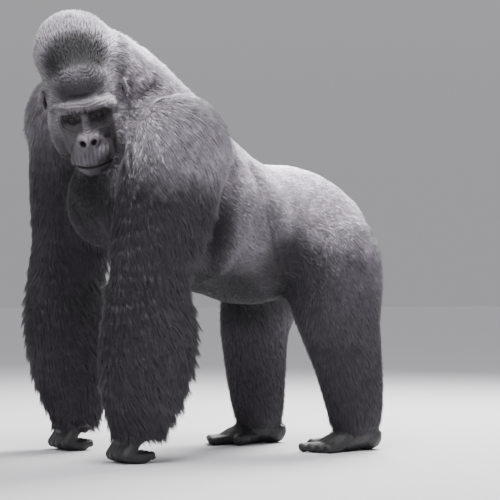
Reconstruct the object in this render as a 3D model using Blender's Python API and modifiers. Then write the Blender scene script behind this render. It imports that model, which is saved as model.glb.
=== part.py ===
"""A silverback gorilla standing on its knuckles and soles, as a life-size still model.

The body is built up as clay: lofts and ellipsoids for the trunk, neck, head and limbs, out to the tips
of the coat, are fused into one mesh, smoothed, thinned to a few thousand facets, set down on flat soles,
and parted by thin cuts into the pieces a person would name. The ears and eyes are pieces of their own.

Metres, +Z up. The gorilla looks along -Y, its left side is +X, and the origin is on the floor.
"""

import math

import bmesh
import bpy
from mathutils import Matrix, Vector

# Driving dimensions
GAP = 0.0004  # width of every cut between two neighbours
CLAY_VOXEL = 0.008  # grid on which the clay forms are fused
FACETS = 3700  # triangles kept on the whole body before it is parted
SOFTEN_ALL = 4  # smoothing passes everywhere
SOFTEN_BULK = 45  # further passes on the trunk and limbs, where the coat rounds everything off
FINE_THINNING = 0.5  # how readily the face, hands and feet are thinned, against 1 for the rest
RING = 28  # points round a lofted section

# Colour and roughness of each finish
FINISHES = {
    "dark_coat": ((0.030, 0.028, 0.031), 0.75),
    "silver_coat": ((0.30, 0.28, 0.29), 0.70),
    "bare_skin": ((0.035, 0.032, 0.035), 0.50),
    "eye": ((0.045, 0.022, 0.012), 0.12),
}

# The head's stance
HEAD_AT = Vector((0.101, -0.520, 1.102))  # middle of the head, at the height of the brow
HEAD_YAW = math.radians(62)  # turned to its left
HEAD_PITCH = math.radians(22)  # bowed
HEAD_ROLL = math.radians(-10)  # tipped towards its right shoulder
HEAD = (
    Matrix.Translation(HEAD_AT)
    @ Matrix.Rotation(HEAD_YAW, 4, "Z")
    @ Matrix.Rotation(HEAD_PITCH, 4, "X")
    @ Matrix.Rotation(HEAD_ROLL, 4, "Y")
)

# Eyes and ears, in the head's own frame: x to its left, y backwards, z up from the brow
EYE_RADIUS = 0.0125
EYE_AT = Vector((0.040, -0.095, -0.033))
EAR_AT = Vector((0.122, -0.020, 0.016))
EAR_HEIGHT = 0.058
EAR_WIDTH = 0.040
EAR_THICKNESS = 0.011

# Hands and feet
HAND_WIDTH = 0.142
FINGERS = 4
FINGER_RADIUS = 0.0185
LEFT_HAND = Vector((0.250, -0.405, 0))
RIGHT_HAND = Vector((-0.268, -0.362, 0))
FOOT_LENGTH = 0.30
FOOT_WIDTH = 0.112
TOES = 4
TOE_RADIUS = 0.0145
LEFT_FOOT = Vector((0.210, 0.400, 0))
RIGHT_FOOT = Vector((-0.200, 0.278, 0))
FOOT_TURN = math.radians(8)

# Each limb stands in rows of (height, x, y, half width, half depth)
LEFT_ARM = (
    (1.02, 0.252, -0.290, 0.060, 0.075),
    (0.93, 0.268, -0.302, 0.118, 0.148),
    (0.82, 0.288, -0.330, 0.128, 0.168),
    (0.68, 0.298, -0.378, 0.118, 0.150),
    (0.55, 0.300, -0.410, 0.106, 0.132),
    (0.44, 0.294, -0.400, 0.118, 0.154),
    (0.32, 0.282, -0.402, 0.118, 0.156),
    (0.21, 0.268, -0.412, 0.104, 0.138),
    (0.12, 0.256, -0.412, 0.082, 0.106),
    (0.075, 0.252, -0.402, 0.064, 0.074),
)
RIGHT_ARM = (
    (1.10, -0.270, -0.385, 0.060, 0.075),
    (1.00, -0.288, -0.385, 0.118, 0.145),
    (0.84, -0.300, -0.380, 0.122, 0.150),
    (0.68, -0.302, -0.382, 0.112, 0.138),
    (0.55, -0.305, -0.400, 0.108, 0.136),
    (0.44, -0.305, -0.400, 0.118, 0.150),
    (0.32, -0.300, -0.392, 0.114, 0.146),
    (0.21, -0.285, -0.382, 0.102, 0.128),
    (0.12, -0.272, -0.372, 0.080, 0.100),
    (0.075, -0.268, -0.360, 0.064, 0.072),
)
LEFT_LEG = (
    (0.76, 0.110, 0.350, 0.070, 0.080),
    (0.69, 0.126, 0.350, 0.126, 0.150),
    (0.60, 0.148, 0.345, 0.146, 0.170),
    (0.50, 0.175, 0.335, 0.140, 0.165),
    (0.40, 0.195, 0.340, 0.120, 0.142),
    (0.30, 0.205, 0.360, 0.104, 0.122),
    (0.20, 0.210, 0.377, 0.094, 0.108),
    (0.11, 0.210, 0.390, 0.082, 0.094),
    (0.06, 0.210, 0.396, 0.058, 0.070),
)
RIGHT_LEG = (
    (0.76, -0.110, 0.345, 0.070, 0.080),
    (0.69, -0.126, 0.330, 0.126, 0.150),
    (0.60, -0.148, 0.295, 0.142, 0.162),
    (0.50, -0.172, 0.262, 0.128, 0.145),
    (0.40, -0.188, 0.245, 0.112, 0.126),
    (0.30, -0.195, 0.250, 0.100, 0.114),
    (0.20, -0.200, 0.258, 0.091, 0.104),
    (0.11, -0.200, 0.268, 0.080, 0.092),
    (0.06, -0.200, 0.274, 0.058, 0.068),
)

# Where the body is parted
HEAD_BALL = (0, -0.020, 0.020), (0.168, 0.235, 0.300)  # in the head's frame
NECK_BALL = (0.040, -0.400, 1.130), (0.175, 0.210, 0.220)
FOREARM_BOX = (0.350, -0.460, 0.225), (0.520, 0.500, 0.650)
WRIST_Z = 0.105
UPPER_ARM_BALLS = {
    "left": ((0.400, -0.350, 0.800), (0.245, 0.260, 0.420)),
    "right": ((0.400, -0.400, 0.860), (0.245, 0.260, 0.480)),
}
SHIN_BOX = (0.340, 0.350, 0.160), (0.580, 0.620, 0.520)
ANKLE_Z = 0.085
THIGH_BALLS = {
    "left": ((0.310, 0.390, 0.440), (0.295, 0.285, 0.340)),
    "right": ((0.310, 0.310, 0.440), (0.295, 0.285, 0.340)),
}
CHEST_END = (0, -0.03, 0.74)
RUMP_START = (0, 0.23, 0.72)
EAR_FACETS = 200
WELD = 1e-5  # points closer than this are one

WORLD = Matrix.Identity(4)
SIDES = (("left", 1), ("right", -1))


# Clay forms: each is made closed in a mesh of its own, then added to the clay

def add(clay, form, place):
    """Moves a finished form to its place and adds it to the clay."""
    mesh = bpy.data.meshes.new("form")
    form.to_mesh(mesh)
    form.free()
    mesh.transform(place)
    clay.from_mesh(mesh)
    bpy.data.meshes.remove(mesh)


def ellipsoid(clay, centre, radii, place=WORLD, lean=0.0, splay=0.0):
    """Adds an ellipsoid: lean turns it about x and splay about y, in degrees."""
    form = bmesh.new()
    bmesh.ops.create_uvsphere(form, u_segments=32, v_segments=20, radius=1.0)
    turn = Matrix.Rotation(math.radians(splay), 4, "Y") @ Matrix.Rotation(math.radians(lean), 4, "X")
    add(clay, form, place @ Matrix.Translation(centre) @ turn @ Matrix.Diagonal((*radii, 1.0)))


def pair(clay, centre, radii, place=WORLD, lean=0.0, splay=0.0):
    """Adds an ellipsoid and its mirror image on the other side."""
    x, y, z = centre
    ellipsoid(clay, (x, y, z), radii, place, lean, splay)
    ellipsoid(clay, (-x, y, z), radii, place, lean, -splay)


def eased(a, b, c, d, t):
    """Catmull-Rom value between b and c."""
    return 0.5 * (
        2 * b + (c - a) * t + (2 * a - 5 * b + 4 * c - d) * t * t + (3 * b - a - 3 * c + d) * t ** 3
    )


def loft(clay, sections, place=WORLD, side=(1, 0, 0), steps=4):
    """Adds a closed tube through sections of (centre, half width, half depth), eased between them."""
    rows = [(Vector(centre), wide, deep) for centre, wide, deep in sections]
    rows = [rows[0], *rows, rows[-1]]
    fine = []
    for around in zip(rows, rows[1:], rows[2:], rows[3:]):
        for step in range(steps):
            fine.append([eased(*(row[k] for row in around), step / steps) for k in range(3)])
    fine.append(list(rows[-1]))
    side = Vector(side)
    form = bmesh.new()
    loops = []
    for i, (centre, wide, deep) in enumerate(fine):
        ahead, behind = fine[min(i + 1, len(fine) - 1)][0], fine[max(i - 1, 0)][0]
        along = (ahead - behind).normalized()
        across = (side - side.dot(along) * along).normalized()
        up = along.cross(across)
        turn = Matrix((across * wide, up * deep, along)).transposed().to_4x4()
        ring = bmesh.ops.create_circle(
            form,
            cap_ends=i in (0, len(fine) - 1),
            segments=RING,
            radius=1.0,
            matrix=Matrix.Translation(centre) @ turn,
        )
        loops.append(set(ring["verts"]))
    for low, high in zip(loops, loops[1:]):
        edges = [e for e in form.edges if set(e.verts) <= low or set(e.verts) <= high]
        bmesh.ops.bridge_loops(form, edges=edges)
    bmesh.ops.recalc_face_normals(form, faces=form.faces)
    add(clay, form, place)


def rod(clay, start, end, radii, place=WORLD):
    """Adds a round-ended rod that tapers from one radius to the other."""
    start, end = Vector(start), Vector(end)
    side = (1, 0, 0) if abs((end - start).normalized().x) < 0.9 else (0, 0, 1)
    loft(clay, [(start, radii[0], radii[0]), (end, radii[1], radii[1])], place, side, steps=2)
    for centre, radius in ((start, radii[0]), (end, radii[1])):
        ellipsoid(clay, centre, (radius,) * 3, place)


# Regions of the body

def trunk(clay):
    """Rump, belly, ribs and breast along the spine, hollow at the loin behind the ribs."""
    loft(
        clay,
        [
            ((0, 0.515, 0.635), 0.070, 0.080),
            ((0, 0.458, 0.668), 0.140, 0.140),
            ((0, 0.372, 0.698), 0.190, 0.178),
            ((0, 0.260, 0.722), 0.210, 0.205),
            ((0, 0.120, 0.712), 0.232, 0.220),
            ((0, -0.020, 0.740), 0.255, 0.245),
            ((0, -0.150, 0.805), 0.262, 0.262),
            ((0, -0.270, 0.885), 0.232, 0.255),
            ((0.01, -0.370, 0.970), 0.180, 0.200),
        ],
    )
    ellipsoid(clay, (0, 0.10, 0.608), (0.212, 0.215, 0.142))  # paunch
    pair(clay, (0.100, 0.385, 0.625), (0.130, 0.145, 0.170))  # buttocks
    pair(clay, (0.100, -0.375, 0.800), (0.115, 0.105, 0.150))  # breast muscles


def neck(clay):
    """The nape, a steep slope of muscle from the back of the crest down to the shoulders."""
    loft(
        clay,
        [
            ((0, -0.120, 0.965), 0.210, 0.120),
            ((0, -0.210, 1.035), 0.185, 0.140),
            ((0.02, -0.320, 1.100), 0.165, 0.158),
            ((0.05, -0.420, 1.168), 0.145, 0.150),
            ((0.08, -0.470, 1.215), 0.122, 0.125),
            ((0.10, -0.500, 1.235), 0.100, 0.100),
        ],
    )
    ellipsoid(clay, (0.03, -0.43, 1.00), (0.150, 0.120, 0.140))  # throat


def shoulders(clay):
    """Caps, blades and the slopes up to the neck. The right shoulder is carried higher and further forward."""
    for side, lift, ahead in ((1, 0.0, 0.0), (-1, 0.122, 0.100)):
        cap = (side * 0.270, -0.290 - ahead, 0.930 + lift)
        ellipsoid(clay, cap, (0.140, 0.168, 0.185), splay=side * 8)
        blade = (side * 0.150, -0.190, 0.945 + lift / 3)
        ellipsoid(clay, blade, (0.145, 0.190, 0.120), lean=-30)
        slope = (side * 0.150, -0.320 - ahead / 2, 1.010 + lift / 2)
        ellipsoid(clay, slope, (0.135, 0.135, 0.110), splay=side * 20)


def head(clay):
    """Skull, crest, brow, muzzle and jowls, with the coat on all but the face."""
    ellipsoid(clay, (0, 0.020, 0.020), (0.126, 0.138, 0.130), HEAD)  # skull
    ellipsoid(clay, (-0.010, 0.045, 0.137), (0.128, 0.118, 0.128), HEAD, lean=-10)  # crest
    ellipsoid(clay, (0, 0.120, 0.060), (0.124, 0.120, 0.150), HEAD, lean=-18)  # back of the skull
    ellipsoid(clay, (0, -0.060, 0.070), (0.088, 0.060, 0.064), HEAD, lean=12)  # forehead pad
    for side in (1, -1):
        rod(clay, (0, -0.116, 0.003), (side * 0.074, -0.092, -0.002), (0.026, 0.023), HEAD)  # brow
    rod(clay, (0, -0.100, -0.020), (0, -0.136, -0.076), (0.017, 0.022), HEAD)  # bridge of the nose
    ellipsoid(clay, (0, -0.084, -0.080), (0.064, 0.058, 0.056), HEAD)  # upper jaw
    ellipsoid(clay, (0, -0.146, -0.094), (0.037, 0.027, 0.026), HEAD)  # nose pad
    pair(clay, (0.066, -0.066, -0.060), (0.042, 0.038, 0.032), HEAD)  # cheekbones
    ellipsoid(clay, (0, -0.098, -0.140), (0.066, 0.073, 0.052), HEAD)  # muzzle
    ellipsoid(clay, (0, -0.090, -0.190), (0.058, 0.064, 0.030), HEAD)  # lower lip and chin
    pair(clay, (0.074, -0.004, -0.084), (0.058, 0.092, 0.100), HEAD)  # jowls
    ellipsoid(clay, (0, 0.020, -0.130), (0.095, 0.108, 0.078), HEAD)  # under the jaw


def limb(clay, rows):
    """A standing limb, lofted down through its rows."""
    loft(clay, [((x, y, z), wide, deep) for z, x, y, wide, deep in rows])


def hand(clay, at, inner):
    """A hand on its knuckles: the palm hangs from the wrist and each finger folds back under itself."""
    place = Matrix.Translation(at)
    x_thumb, x_thumb_tip = inner * 0.046, inner * 0.076
    loft(
        clay,
        [
            ((0, 0.002, 0.180), 0.050, 0.040),
            ((0, -0.008, 0.130), 0.062, 0.040),
            ((0, -0.028, 0.088), 0.067, 0.034),
        ],
        place,
    )
    spread = (HAND_WIDTH - 2 * FINGER_RADIUS) / (FINGERS - 1)
    centre = (FINGERS - 1) / 2
    thick, slim = FINGER_RADIUS, FINGER_RADIUS * 0.75
    for finger in range(FINGERS):
        x = (finger - centre) * spread
        reach = 0.046 * (1.0 - 0.10 * abs(finger - centre))
        root = (x * 0.92, -0.028, 0.086)
        knuckle = (x, -0.034 - reach, 0.024)
        joint = (x, -0.026, 0.0110)
        tip = (x * 0.94, 0.008, 0.024)
        rod(clay, root, knuckle, (thick, thick), place)
        rod(clay, knuckle, joint, (thick, thick), place)
        rod(clay, joint, tip, (thick, slim), place)
    rod(clay, (x_thumb, 0, 0.130), (x_thumb_tip, -0.020, 0.070), (0.019, 0.014), place)


def foot(clay, at, inner):
    """A flat foot: heel, instep, four toes in a row and the big toe standing off on the inner side."""
    place = Matrix.Translation(at) @ Matrix.Rotation(-inner * FOOT_TURN, 4, "Z")
    heel = 0.30 * FOOT_LENGTH
    ball = heel - 0.72 * FOOT_LENGTH
    toe_end = heel - FOOT_LENGTH + TOE_RADIUS
    ellipsoid(clay, (0, heel - 0.052, 0.040), (0.042, 0.052, 0.044), place)
    loft(
        clay,
        [
            ((0, 0.035, 0.060), 0.036, 0.040),
            ((0, -0.010, 0.050), 0.044, 0.050),
            ((0, -0.070, 0.034), 0.052, 0.036),
            ((0, ball, 0.022), FOOT_WIDTH / 2, 0.024),
        ],
        place,
    )
    spread = (FOOT_WIDTH - 2 * TOE_RADIUS) / (TOES - 1)
    for toe in range(TOES):
        x = -inner * (toe - (TOES - 1) / 2) * spread
        start = (x, ball + 0.010, 0.018)
        end = (x * 1.12, toe_end + 0.010 * toe, 0.0135)
        rod(clay, start, end, (TOE_RADIUS * 1.1, TOE_RADIUS), place)
    rod(clay, (inner * 0.026, -0.045, 0.026), (inner * 0.088, -0.118, 0.0165), (0.024, 0.0185), place)


# Building and smoothing

def new_object(name, mesh, collection):
    obj = bpy.data.objects.new(name, mesh)
    collection.objects.link(obj)
    return obj


def evaluated(obj):
    """The object's mesh with its modifiers applied, in world space; the object is removed."""
    bpy.context.view_layer.update()
    depsgraph = bpy.context.evaluated_depsgraph_get()
    mesh = bpy.data.meshes.new_from_object(obj.evaluated_get(depsgraph))
    mesh.transform(obj.matrix_world)
    bpy.data.objects.remove(obj)
    return mesh


def fused(clay, voxel, scratch):
    """The clay forms fused on a grid into one closed mesh."""
    mesh = bpy.data.meshes.new("clay")
    clay.to_mesh(mesh)
    clay.free()
    lump = new_object("clay", mesh, scratch)
    fuse = lump.modifiers.new("fuse", "REMESH")
    fuse.mode = "VOXEL"
    fuse.voxel_size = voxel
    return evaluated(lump)


def smoothed_and_thinned(mesh, passes, facets, scratch, fine=(), bulk_passes=0):
    """The mesh smoothed, then thinned to about that many triangles, both less so on its fine vertices."""
    triangles = sum(len(face.vertices) - 2 for face in mesh.polygons)
    lump = new_object("clay", mesh, scratch)
    bulk = lump.vertex_groups.new(name="bulk")
    plain = lump.vertex_groups.new(name="plain")
    for group, weight in ((bulk, 0.0), (plain, FINE_THINNING)):
        group.add(range(len(mesh.vertices)), 1.0, "REPLACE")
        if fine:
            group.add(fine, weight, "REPLACE")
    everywhere = lump.modifiers.new("everywhere", "SMOOTH")
    everywhere.factor = 0.5
    everywhere.iterations = passes
    if bulk_passes:
        rounding = lump.modifiers.new("rounding", "SMOOTH")
        rounding.factor = 0.5
        rounding.iterations = bulk_passes
        rounding.vertex_group = "bulk"
    thin = lump.modifiers.new("thin", "DECIMATE")
    thin.ratio = facets / triangles
    thin.vertex_group = "plain"
    thin.vertex_group_factor = 0.05
    return evaluated(lump)


def in_detail(point):
    """True on the face, hands and feet, which keep their small forms."""
    local = HEAD.inverted() @ point
    on_face = abs(local.x) < 0.115 and -0.22 < local.y < -0.03 and -0.25 < local.z < 0.05
    return on_face or point.z < 0.10


def stood_flat(mesh):
    """Cuts the mesh off at the floor, which leaves level soles and knuckles."""
    form = bmesh.new()
    form.from_mesh(mesh)
    sawn(form, (0, 0, 0), (0, 0, -1))
    form.to_mesh(mesh)
    form.free()
    return mesh


def sawn(form, at, normal):
    """Keeps what lies behind a plane, and closes it with a flat face."""
    cut = bmesh.ops.bisect_plane(
        form,
        geom=[*form.verts, *form.edges, *form.faces],
        dist=1e-6,
        plane_co=at,
        plane_no=normal,
        clear_outer=True,
    )
    rim = [e for e in cut["geom_cut"] if isinstance(e, bmesh.types.BMEdge)]
    bmesh.ops.triangle_fill(form, use_beauty=True, edges=rim, normal=normal)
    bmesh.ops.triangulate(form, faces=form.faces)


def body_mesh(scratch):
    """All the clay as one smooth mesh, thinned to FACETS triangles and standing on flat soles."""
    clay = bmesh.new()
    trunk(clay)
    neck(clay)
    shoulders(clay)
    head(clay)
    for rows in (LEFT_ARM, RIGHT_ARM, LEFT_LEG, RIGHT_LEG):
        limb(clay, rows)
    hand(clay, LEFT_HAND, inner=-1)
    hand(clay, RIGHT_HAND, inner=1)
    foot(clay, LEFT_FOOT, inner=-1)
    foot(clay, RIGHT_FOOT, inner=1)
    mesh = fused(clay, CLAY_VOXEL, scratch)
    fine = [v.index for v in mesh.vertices if in_detail(v.co)]
    mesh = smoothed_and_thinned(mesh, SOFTEN_ALL, FACETS, scratch, fine, SOFTEN_BULK)
    return stood_flat(mesh)


# Ears, eyes and parting

def ear_mesh(side, scratch):
    """An ear: a small cupped oval with a rolled rim, standing a little off the side of the head."""
    clay = bmesh.new()
    lean = Matrix.Rotation(side * math.radians(20), 4, "Z") @ Matrix.Rotation(math.radians(-10), 4, "X")
    place = HEAD @ Matrix.Translation((side * EAR_AT.x, EAR_AT.y, EAR_AT.z)) @ lean
    half_height, half_width = EAR_HEIGHT / 2, EAR_WIDTH / 2
    rim = EAR_THICKNESS * 0.42
    ellipsoid(clay, (0, 0, 0), (EAR_THICKNESS * 0.45, half_width * 0.9, half_height * 0.9), place)
    turns = 10
    previous = None
    for step in range(turns + 1):
        angle = math.radians(-60 + 250 * step / turns)
        point = (side * EAR_THICKNESS * 0.4, half_width * math.cos(angle), half_height * math.sin(angle))
        if previous:
            rod(clay, previous, point, (rim, rim), place)
        previous = point
    ellipsoid(clay, (side * 0.001, -half_width * 0.7, -0.004), (0.005, 0.006, 0.009), place)  # tragus
    mesh = fused(clay, 0.0022, scratch)
    return smoothed_and_thinned(mesh, 2, EAR_FACETS, scratch)


def box(centre, size, place=WORLD):
    """A box-shaped cutter of that size."""
    form = bmesh.new()
    bmesh.ops.create_cube(form, size=1.0)
    return form, place @ Matrix.Translation(centre), Vector(size)


def ball(centre, radii, place=WORLD):
    """A ball-shaped cutter with these radii."""
    form = bmesh.new()
    bmesh.ops.create_uvsphere(form, u_segments=16, v_segments=10, radius=0.5)
    return form, place @ Matrix.Translation(centre), Vector(radii) * 2


def cutter_object(shape, grow, scratch):
    form, matrix, size = shape
    mesh = bpy.data.meshes.new("cutter")
    form.to_mesh(mesh)
    mesh.transform(matrix @ Matrix.Diagonal((*(size + Vector((grow,) * 3)), 1.0)))
    cutter = new_object("cutter", mesh, scratch)
    cutter.hide_render = True
    cutter.display_type = "WIRE"
    return cutter


def combined(mesh, cutter, operation, scratch):
    """The mesh after a Boolean with the cutter, which is removed."""
    block = new_object("block", mesh.copy(), scratch)
    cut = block.modifiers.new("cut", "BOOLEAN")
    cut.operation = operation
    cut.solver = "EXACT"
    cut.object = cutter
    return evaluated(block)


def largest_body(mesh):
    """Keeps the largest connected body of a mesh, without the crumbs that a cut can leave."""
    form = bmesh.new()
    form.from_mesh(mesh)
    bmesh.ops.triangulate(form, faces=form.faces)
    bmesh.ops.remove_doubles(form, verts=form.verts, dist=WELD)
    bmesh.ops.dissolve_degenerate(form, edges=form.edges, dist=WELD)
    bmesh.ops.triangulate(form, faces=form.faces)
    unseen = set(form.verts)
    bodies = []
    while unseen:
        front = [unseen.pop()]
        found = set(front)
        while front:
            near = {e.other_vert(v) for v in front for e in v.link_edges} & unseen
            unseen -= near
            found |= near
            front = list(near)
        bodies.append(found)
    bodies.sort(key=len)
    crumbs = [v for found in bodies[:-1] for v in found]
    bmesh.ops.delete(form, geom=crumbs, context="VERTS")
    form.to_mesh(mesh)
    form.free()
    return mesh


def carved(mesh, shape, scratch):
    """Parts a mesh by a cutter: what lies inside it, and what lies outside with the gap taken off."""
    inner = cutter_object(shape, 0.0, scratch)
    inside = largest_body(combined(mesh, inner, "INTERSECT", scratch))
    bpy.data.objects.remove(inner)
    outer = cutter_object(shape, 2 * GAP, scratch)
    outside = largest_body(combined(mesh, outer, "DIFFERENCE", scratch))
    bpy.data.objects.remove(outer)
    return inside, outside


def halved(mesh, at, normal):
    """Saws a mesh by a plane into what lies ahead of it and what lies behind, a gap apart."""
    at, normal = Vector(at), Vector(normal).normalized()
    halves = []
    for direction in (-1, 1):
        form = bmesh.new()
        form.from_mesh(mesh)
        sawn(form, at - direction * normal * GAP / 2, direction * normal)
        half = bpy.data.meshes.new("half")
        form.to_mesh(half)
        form.free()
        halves.append(largest_body(half))
    return halves


def finish(name, colour, roughness):
    """A matt surface of that colour."""
    material = bpy.data.materials.get(name) or bpy.data.materials.new(name)
    material.use_nodes = True
    surface = material.node_tree.nodes["Principled BSDF"]
    surface.inputs["Base Color"].default_value = (*colour, 1.0)
    surface.inputs["Roughness"].default_value = roughness
    return material


def grown(mesh, distance):
    """A copy of the mesh, grown outwards by that distance."""
    form = bmesh.new()
    form.from_mesh(mesh)
    form.normal_update()
    for v in form.verts:
        v.co += v.normal * distance
    wall = bpy.data.meshes.new("wall")
    form.to_mesh(wall)
    form.free()
    return wall


def eyeball(at):
    """A round eye in the head's frame."""
    form = bmesh.new()
    bmesh.ops.create_uvsphere(form, u_segments=14, v_segments=8, radius=EYE_RADIUS)
    bmesh.ops.triangulate(form, faces=form.faces)
    mesh = bpy.data.meshes.new("eye")
    form.to_mesh(mesh)
    form.free()
    mesh.transform(HEAD @ Matrix.Translation(at))
    return mesh


def mirrored(shape, side):
    """The centre and size of a cutter, carried over to that side."""
    (x, y, z), size = shape
    return (side * x, y, z), size


def parted(body, scratch):
    """The body parted into named meshes, each with the finish it wears."""
    pieces = {}
    head_piece, rest = carved(body, ball(*HEAD_BALL, HEAD), scratch)
    neck_piece, rest = carved(rest, ball(*NECK_BALL), scratch)
    pieces["neck"] = neck_piece, "silver_coat"
    for name, side in SIDES:
        lower_arm, rest = carved(rest, box(*mirrored(FOREARM_BOX, side)), scratch)
        upper_arm, rest = carved(rest, ball(*mirrored(UPPER_ARM_BALLS[name], side)), scratch)
        lower_leg, rest = carved(rest, box(*mirrored(SHIN_BOX, side)), scratch)
        thigh, rest = carved(rest, ball(*mirrored(THIGH_BALLS[name], side)), scratch)
        forearm, paw = halved(lower_arm, (0, 0, WRIST_Z), (0, 0, 1))
        shin, sole = halved(lower_leg, (0, 0, ANKLE_Z), (0, 0, 1))
        pieces[f"upper_arm_{name}"] = upper_arm, "dark_coat"
        pieces[f"forearm_{name}"] = forearm, "dark_coat"
        pieces[f"hand_{name}"] = paw, "bare_skin"
        pieces[f"thigh_{name}"] = thigh, "silver_coat"
        pieces[f"shin_{name}"] = shin, "dark_coat"
        pieces[f"foot_{name}"] = sole, "bare_skin"
    chest, rear = halved(rest, CHEST_END, (0, -1, 0.25))
    belly, rump = halved(rear, RUMP_START, (0, -1, -0.15))
    pieces["chest"] = chest, "silver_coat"
    pieces["belly"] = belly, "silver_coat"
    pieces["rump"] = rump, "silver_coat"
    for name, side in SIDES:
        eye = (side * EYE_AT.x, EYE_AT.y, EYE_AT.z)
        socket = cutter_object(ball(eye, (EYE_RADIUS,) * 3, HEAD), 2 * GAP, scratch)
        head_piece = largest_body(combined(head_piece, socket, "DIFFERENCE", scratch))
        bpy.data.objects.remove(socket)
        pieces[f"eye_{name}"] = eyeball(eye), "eye"
    for name, side in SIDES:
        pinna = ear_mesh(side, scratch)
        wall = new_object("wall", grown(head_piece, GAP), scratch)
        pieces[f"ear_{name}"] = largest_body(combined(pinna, wall, "DIFFERENCE", scratch)), "bare_skin"
        bpy.data.objects.remove(wall)
    pieces["head"] = head_piece, "dark_coat"
    return pieces


def middle(meshes):
    """The middle of the box round all these meshes."""
    corners = [v.co for mesh in meshes for v in mesh.vertices]
    low = Vector([min(c[k] for c in corners) for k in range(3)])
    high = Vector([max(c[k] for c in corners) for k in range(3)])
    return (low + high) / 2


def main():
    for obj in list(bpy.data.objects):
        bpy.data.objects.remove(obj)
    gorilla = bpy.data.collections.new("gorilla")
    scratch = bpy.data.collections.new("cutters")
    for collection in (gorilla, scratch):
        bpy.context.scene.collection.children.link(collection)
    pieces = parted(body_mesh(scratch), scratch)
    centre = middle([mesh for mesh, worn in pieces.values()])
    for name, (mesh, worn) in pieces.items():
        mesh.name = name
        mesh.transform(Matrix.Translation((-centre.x, -centre.y, 0)))
        mesh.materials.clear()
        mesh.materials.append(finish(worn, *FINISHES[worn]))
        new_object(name, mesh, gorilla)


main()
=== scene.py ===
"""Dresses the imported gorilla: one skin with a sculpted face, eyes, nails and a coat of solid mesh tufts."""

import math
from collections import namedtuple

import bmesh
import bpy
import numpy as np
from bpy.props import FloatProperty, FloatVectorProperty, IntProperty, PointerProperty
from mathutils import Matrix, Vector, noise
from mathutils.bvhtree import BVHTree
from mathutils.kdtree import KDTree


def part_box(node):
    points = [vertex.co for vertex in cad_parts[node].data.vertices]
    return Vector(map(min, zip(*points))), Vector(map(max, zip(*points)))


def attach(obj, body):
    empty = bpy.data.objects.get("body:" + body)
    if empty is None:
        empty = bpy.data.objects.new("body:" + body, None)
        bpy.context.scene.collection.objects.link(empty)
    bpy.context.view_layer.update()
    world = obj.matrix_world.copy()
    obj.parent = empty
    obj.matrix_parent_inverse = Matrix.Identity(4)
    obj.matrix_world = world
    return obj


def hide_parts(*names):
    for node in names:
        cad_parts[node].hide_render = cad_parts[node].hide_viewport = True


bl_info = {
    "name": "Silverback gorilla",
    "version": (1, 0, 0),
    "blender": (4, 5, 0),
    "location": "View3D > Sidebar > Gorilla",
    "description": "Makes the skin, eyes, nails, coat and stage of a life-size still gorilla",
    "category": "Object",
}

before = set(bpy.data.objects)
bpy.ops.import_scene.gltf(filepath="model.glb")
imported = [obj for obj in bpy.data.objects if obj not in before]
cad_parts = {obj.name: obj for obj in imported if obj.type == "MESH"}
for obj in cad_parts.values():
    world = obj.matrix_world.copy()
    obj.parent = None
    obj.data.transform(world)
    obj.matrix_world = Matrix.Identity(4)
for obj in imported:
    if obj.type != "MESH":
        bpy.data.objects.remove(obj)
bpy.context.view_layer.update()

SIDES = (("left", 1), ("right", -1))
EYES = ("eye_left", "eye_right")
EARS = ("ear_left", "ear_right")
FLESH = [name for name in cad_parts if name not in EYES]


def middle_of(node):
    """The middle of a node's box."""
    low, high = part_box(node)
    return (Vector(low) + Vector(high)) / 2


# The head's own frame: x to its left, y backwards, z up from the brow. It is set by the eyes of the solids.
HEAD_TURN = (
    Matrix.Rotation(math.radians(62), 4, "Z")
    @ Matrix.Rotation(math.radians(22), 4, "X")
    @ Matrix.Rotation(math.radians(-10), 4, "Y")
)
EYE = Vector((0.040, -0.095, -0.033))  # the left eye in that frame
EYE_RADIUS = 0.0125
EAR = Vector((0.1225, -0.020, 0.016))  # the left ear
BETWEEN_EYES = (middle_of("eye_left") + middle_of("eye_right")) / 2
HEAD = Matrix.Translation(BETWEEN_EYES - HEAD_TURN @ Vector((0, EYE.y, EYE.z))) @ HEAD_TURN

# Hands and feet, set by the boxes of the solids
HAND_WIDTH = 0.142
FINGER_RADIUS = 0.0185
FOOT_LENGTH = 0.30
FOOT_WIDTH = 0.112
TOE_RADIUS = 0.0145
FOOT_TURN = math.radians(8)


def hand_place(name, side):
    at = middle_of(f"hand_{name}")
    return Matrix.Translation((at.x + side * 0.002, at.y + 0.017, 0))


def foot_place(name, side):
    at = middle_of(f"foot_{name}")
    turn = Matrix.Rotation(side * FOOT_TURN, 4, "Z")
    return Matrix.Translation((at.x + side * 0.004, at.y + 0.061, 0)) @ turn


# Small tools

def linear(hex_colour):
    """An sRGB hex colour as linear red, green and blue."""
    channels = [int(hex_colour[i:i + 2], 16) / 255 for i in (1, 3, 5)]
    return [c / 12.92 if c <= 0.04045 else ((c + 0.055) / 1.055) ** 2.4 for c in channels]


def ramp(low, high, value):
    """0 below low, 1 above high and smooth between; the limits may run downwards."""
    t = np.clip((value - low) / (high - low), 0.0, 1.0)
    return t * t * (3 - 2 * t)


def bump_at(value, centre, width):
    """A bell curve of height 1."""
    return np.exp(-(((value - centre) / width) ** 2))


def points_of(mesh):
    flat = np.empty(len(mesh.vertices) * 3)
    mesh.vertices.foreach_get("co", flat)
    return flat.reshape(-1, 3)


def normals_of(mesh):
    flat = np.empty(len(mesh.vertices) * 3)
    mesh.vertex_normals.foreach_get("vector", flat)
    return flat.reshape(-1, 3)


def into(matrix, points):
    """Points taken into the frame that the matrix places."""
    inverse = np.array(matrix.inverted())
    return points @ inverse[:3, :3].T + inverse[:3, 3]


def unit(vectors):
    return vectors / np.maximum(np.linalg.norm(vectors, axis=1, keepdims=True), 1e-9)


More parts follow.
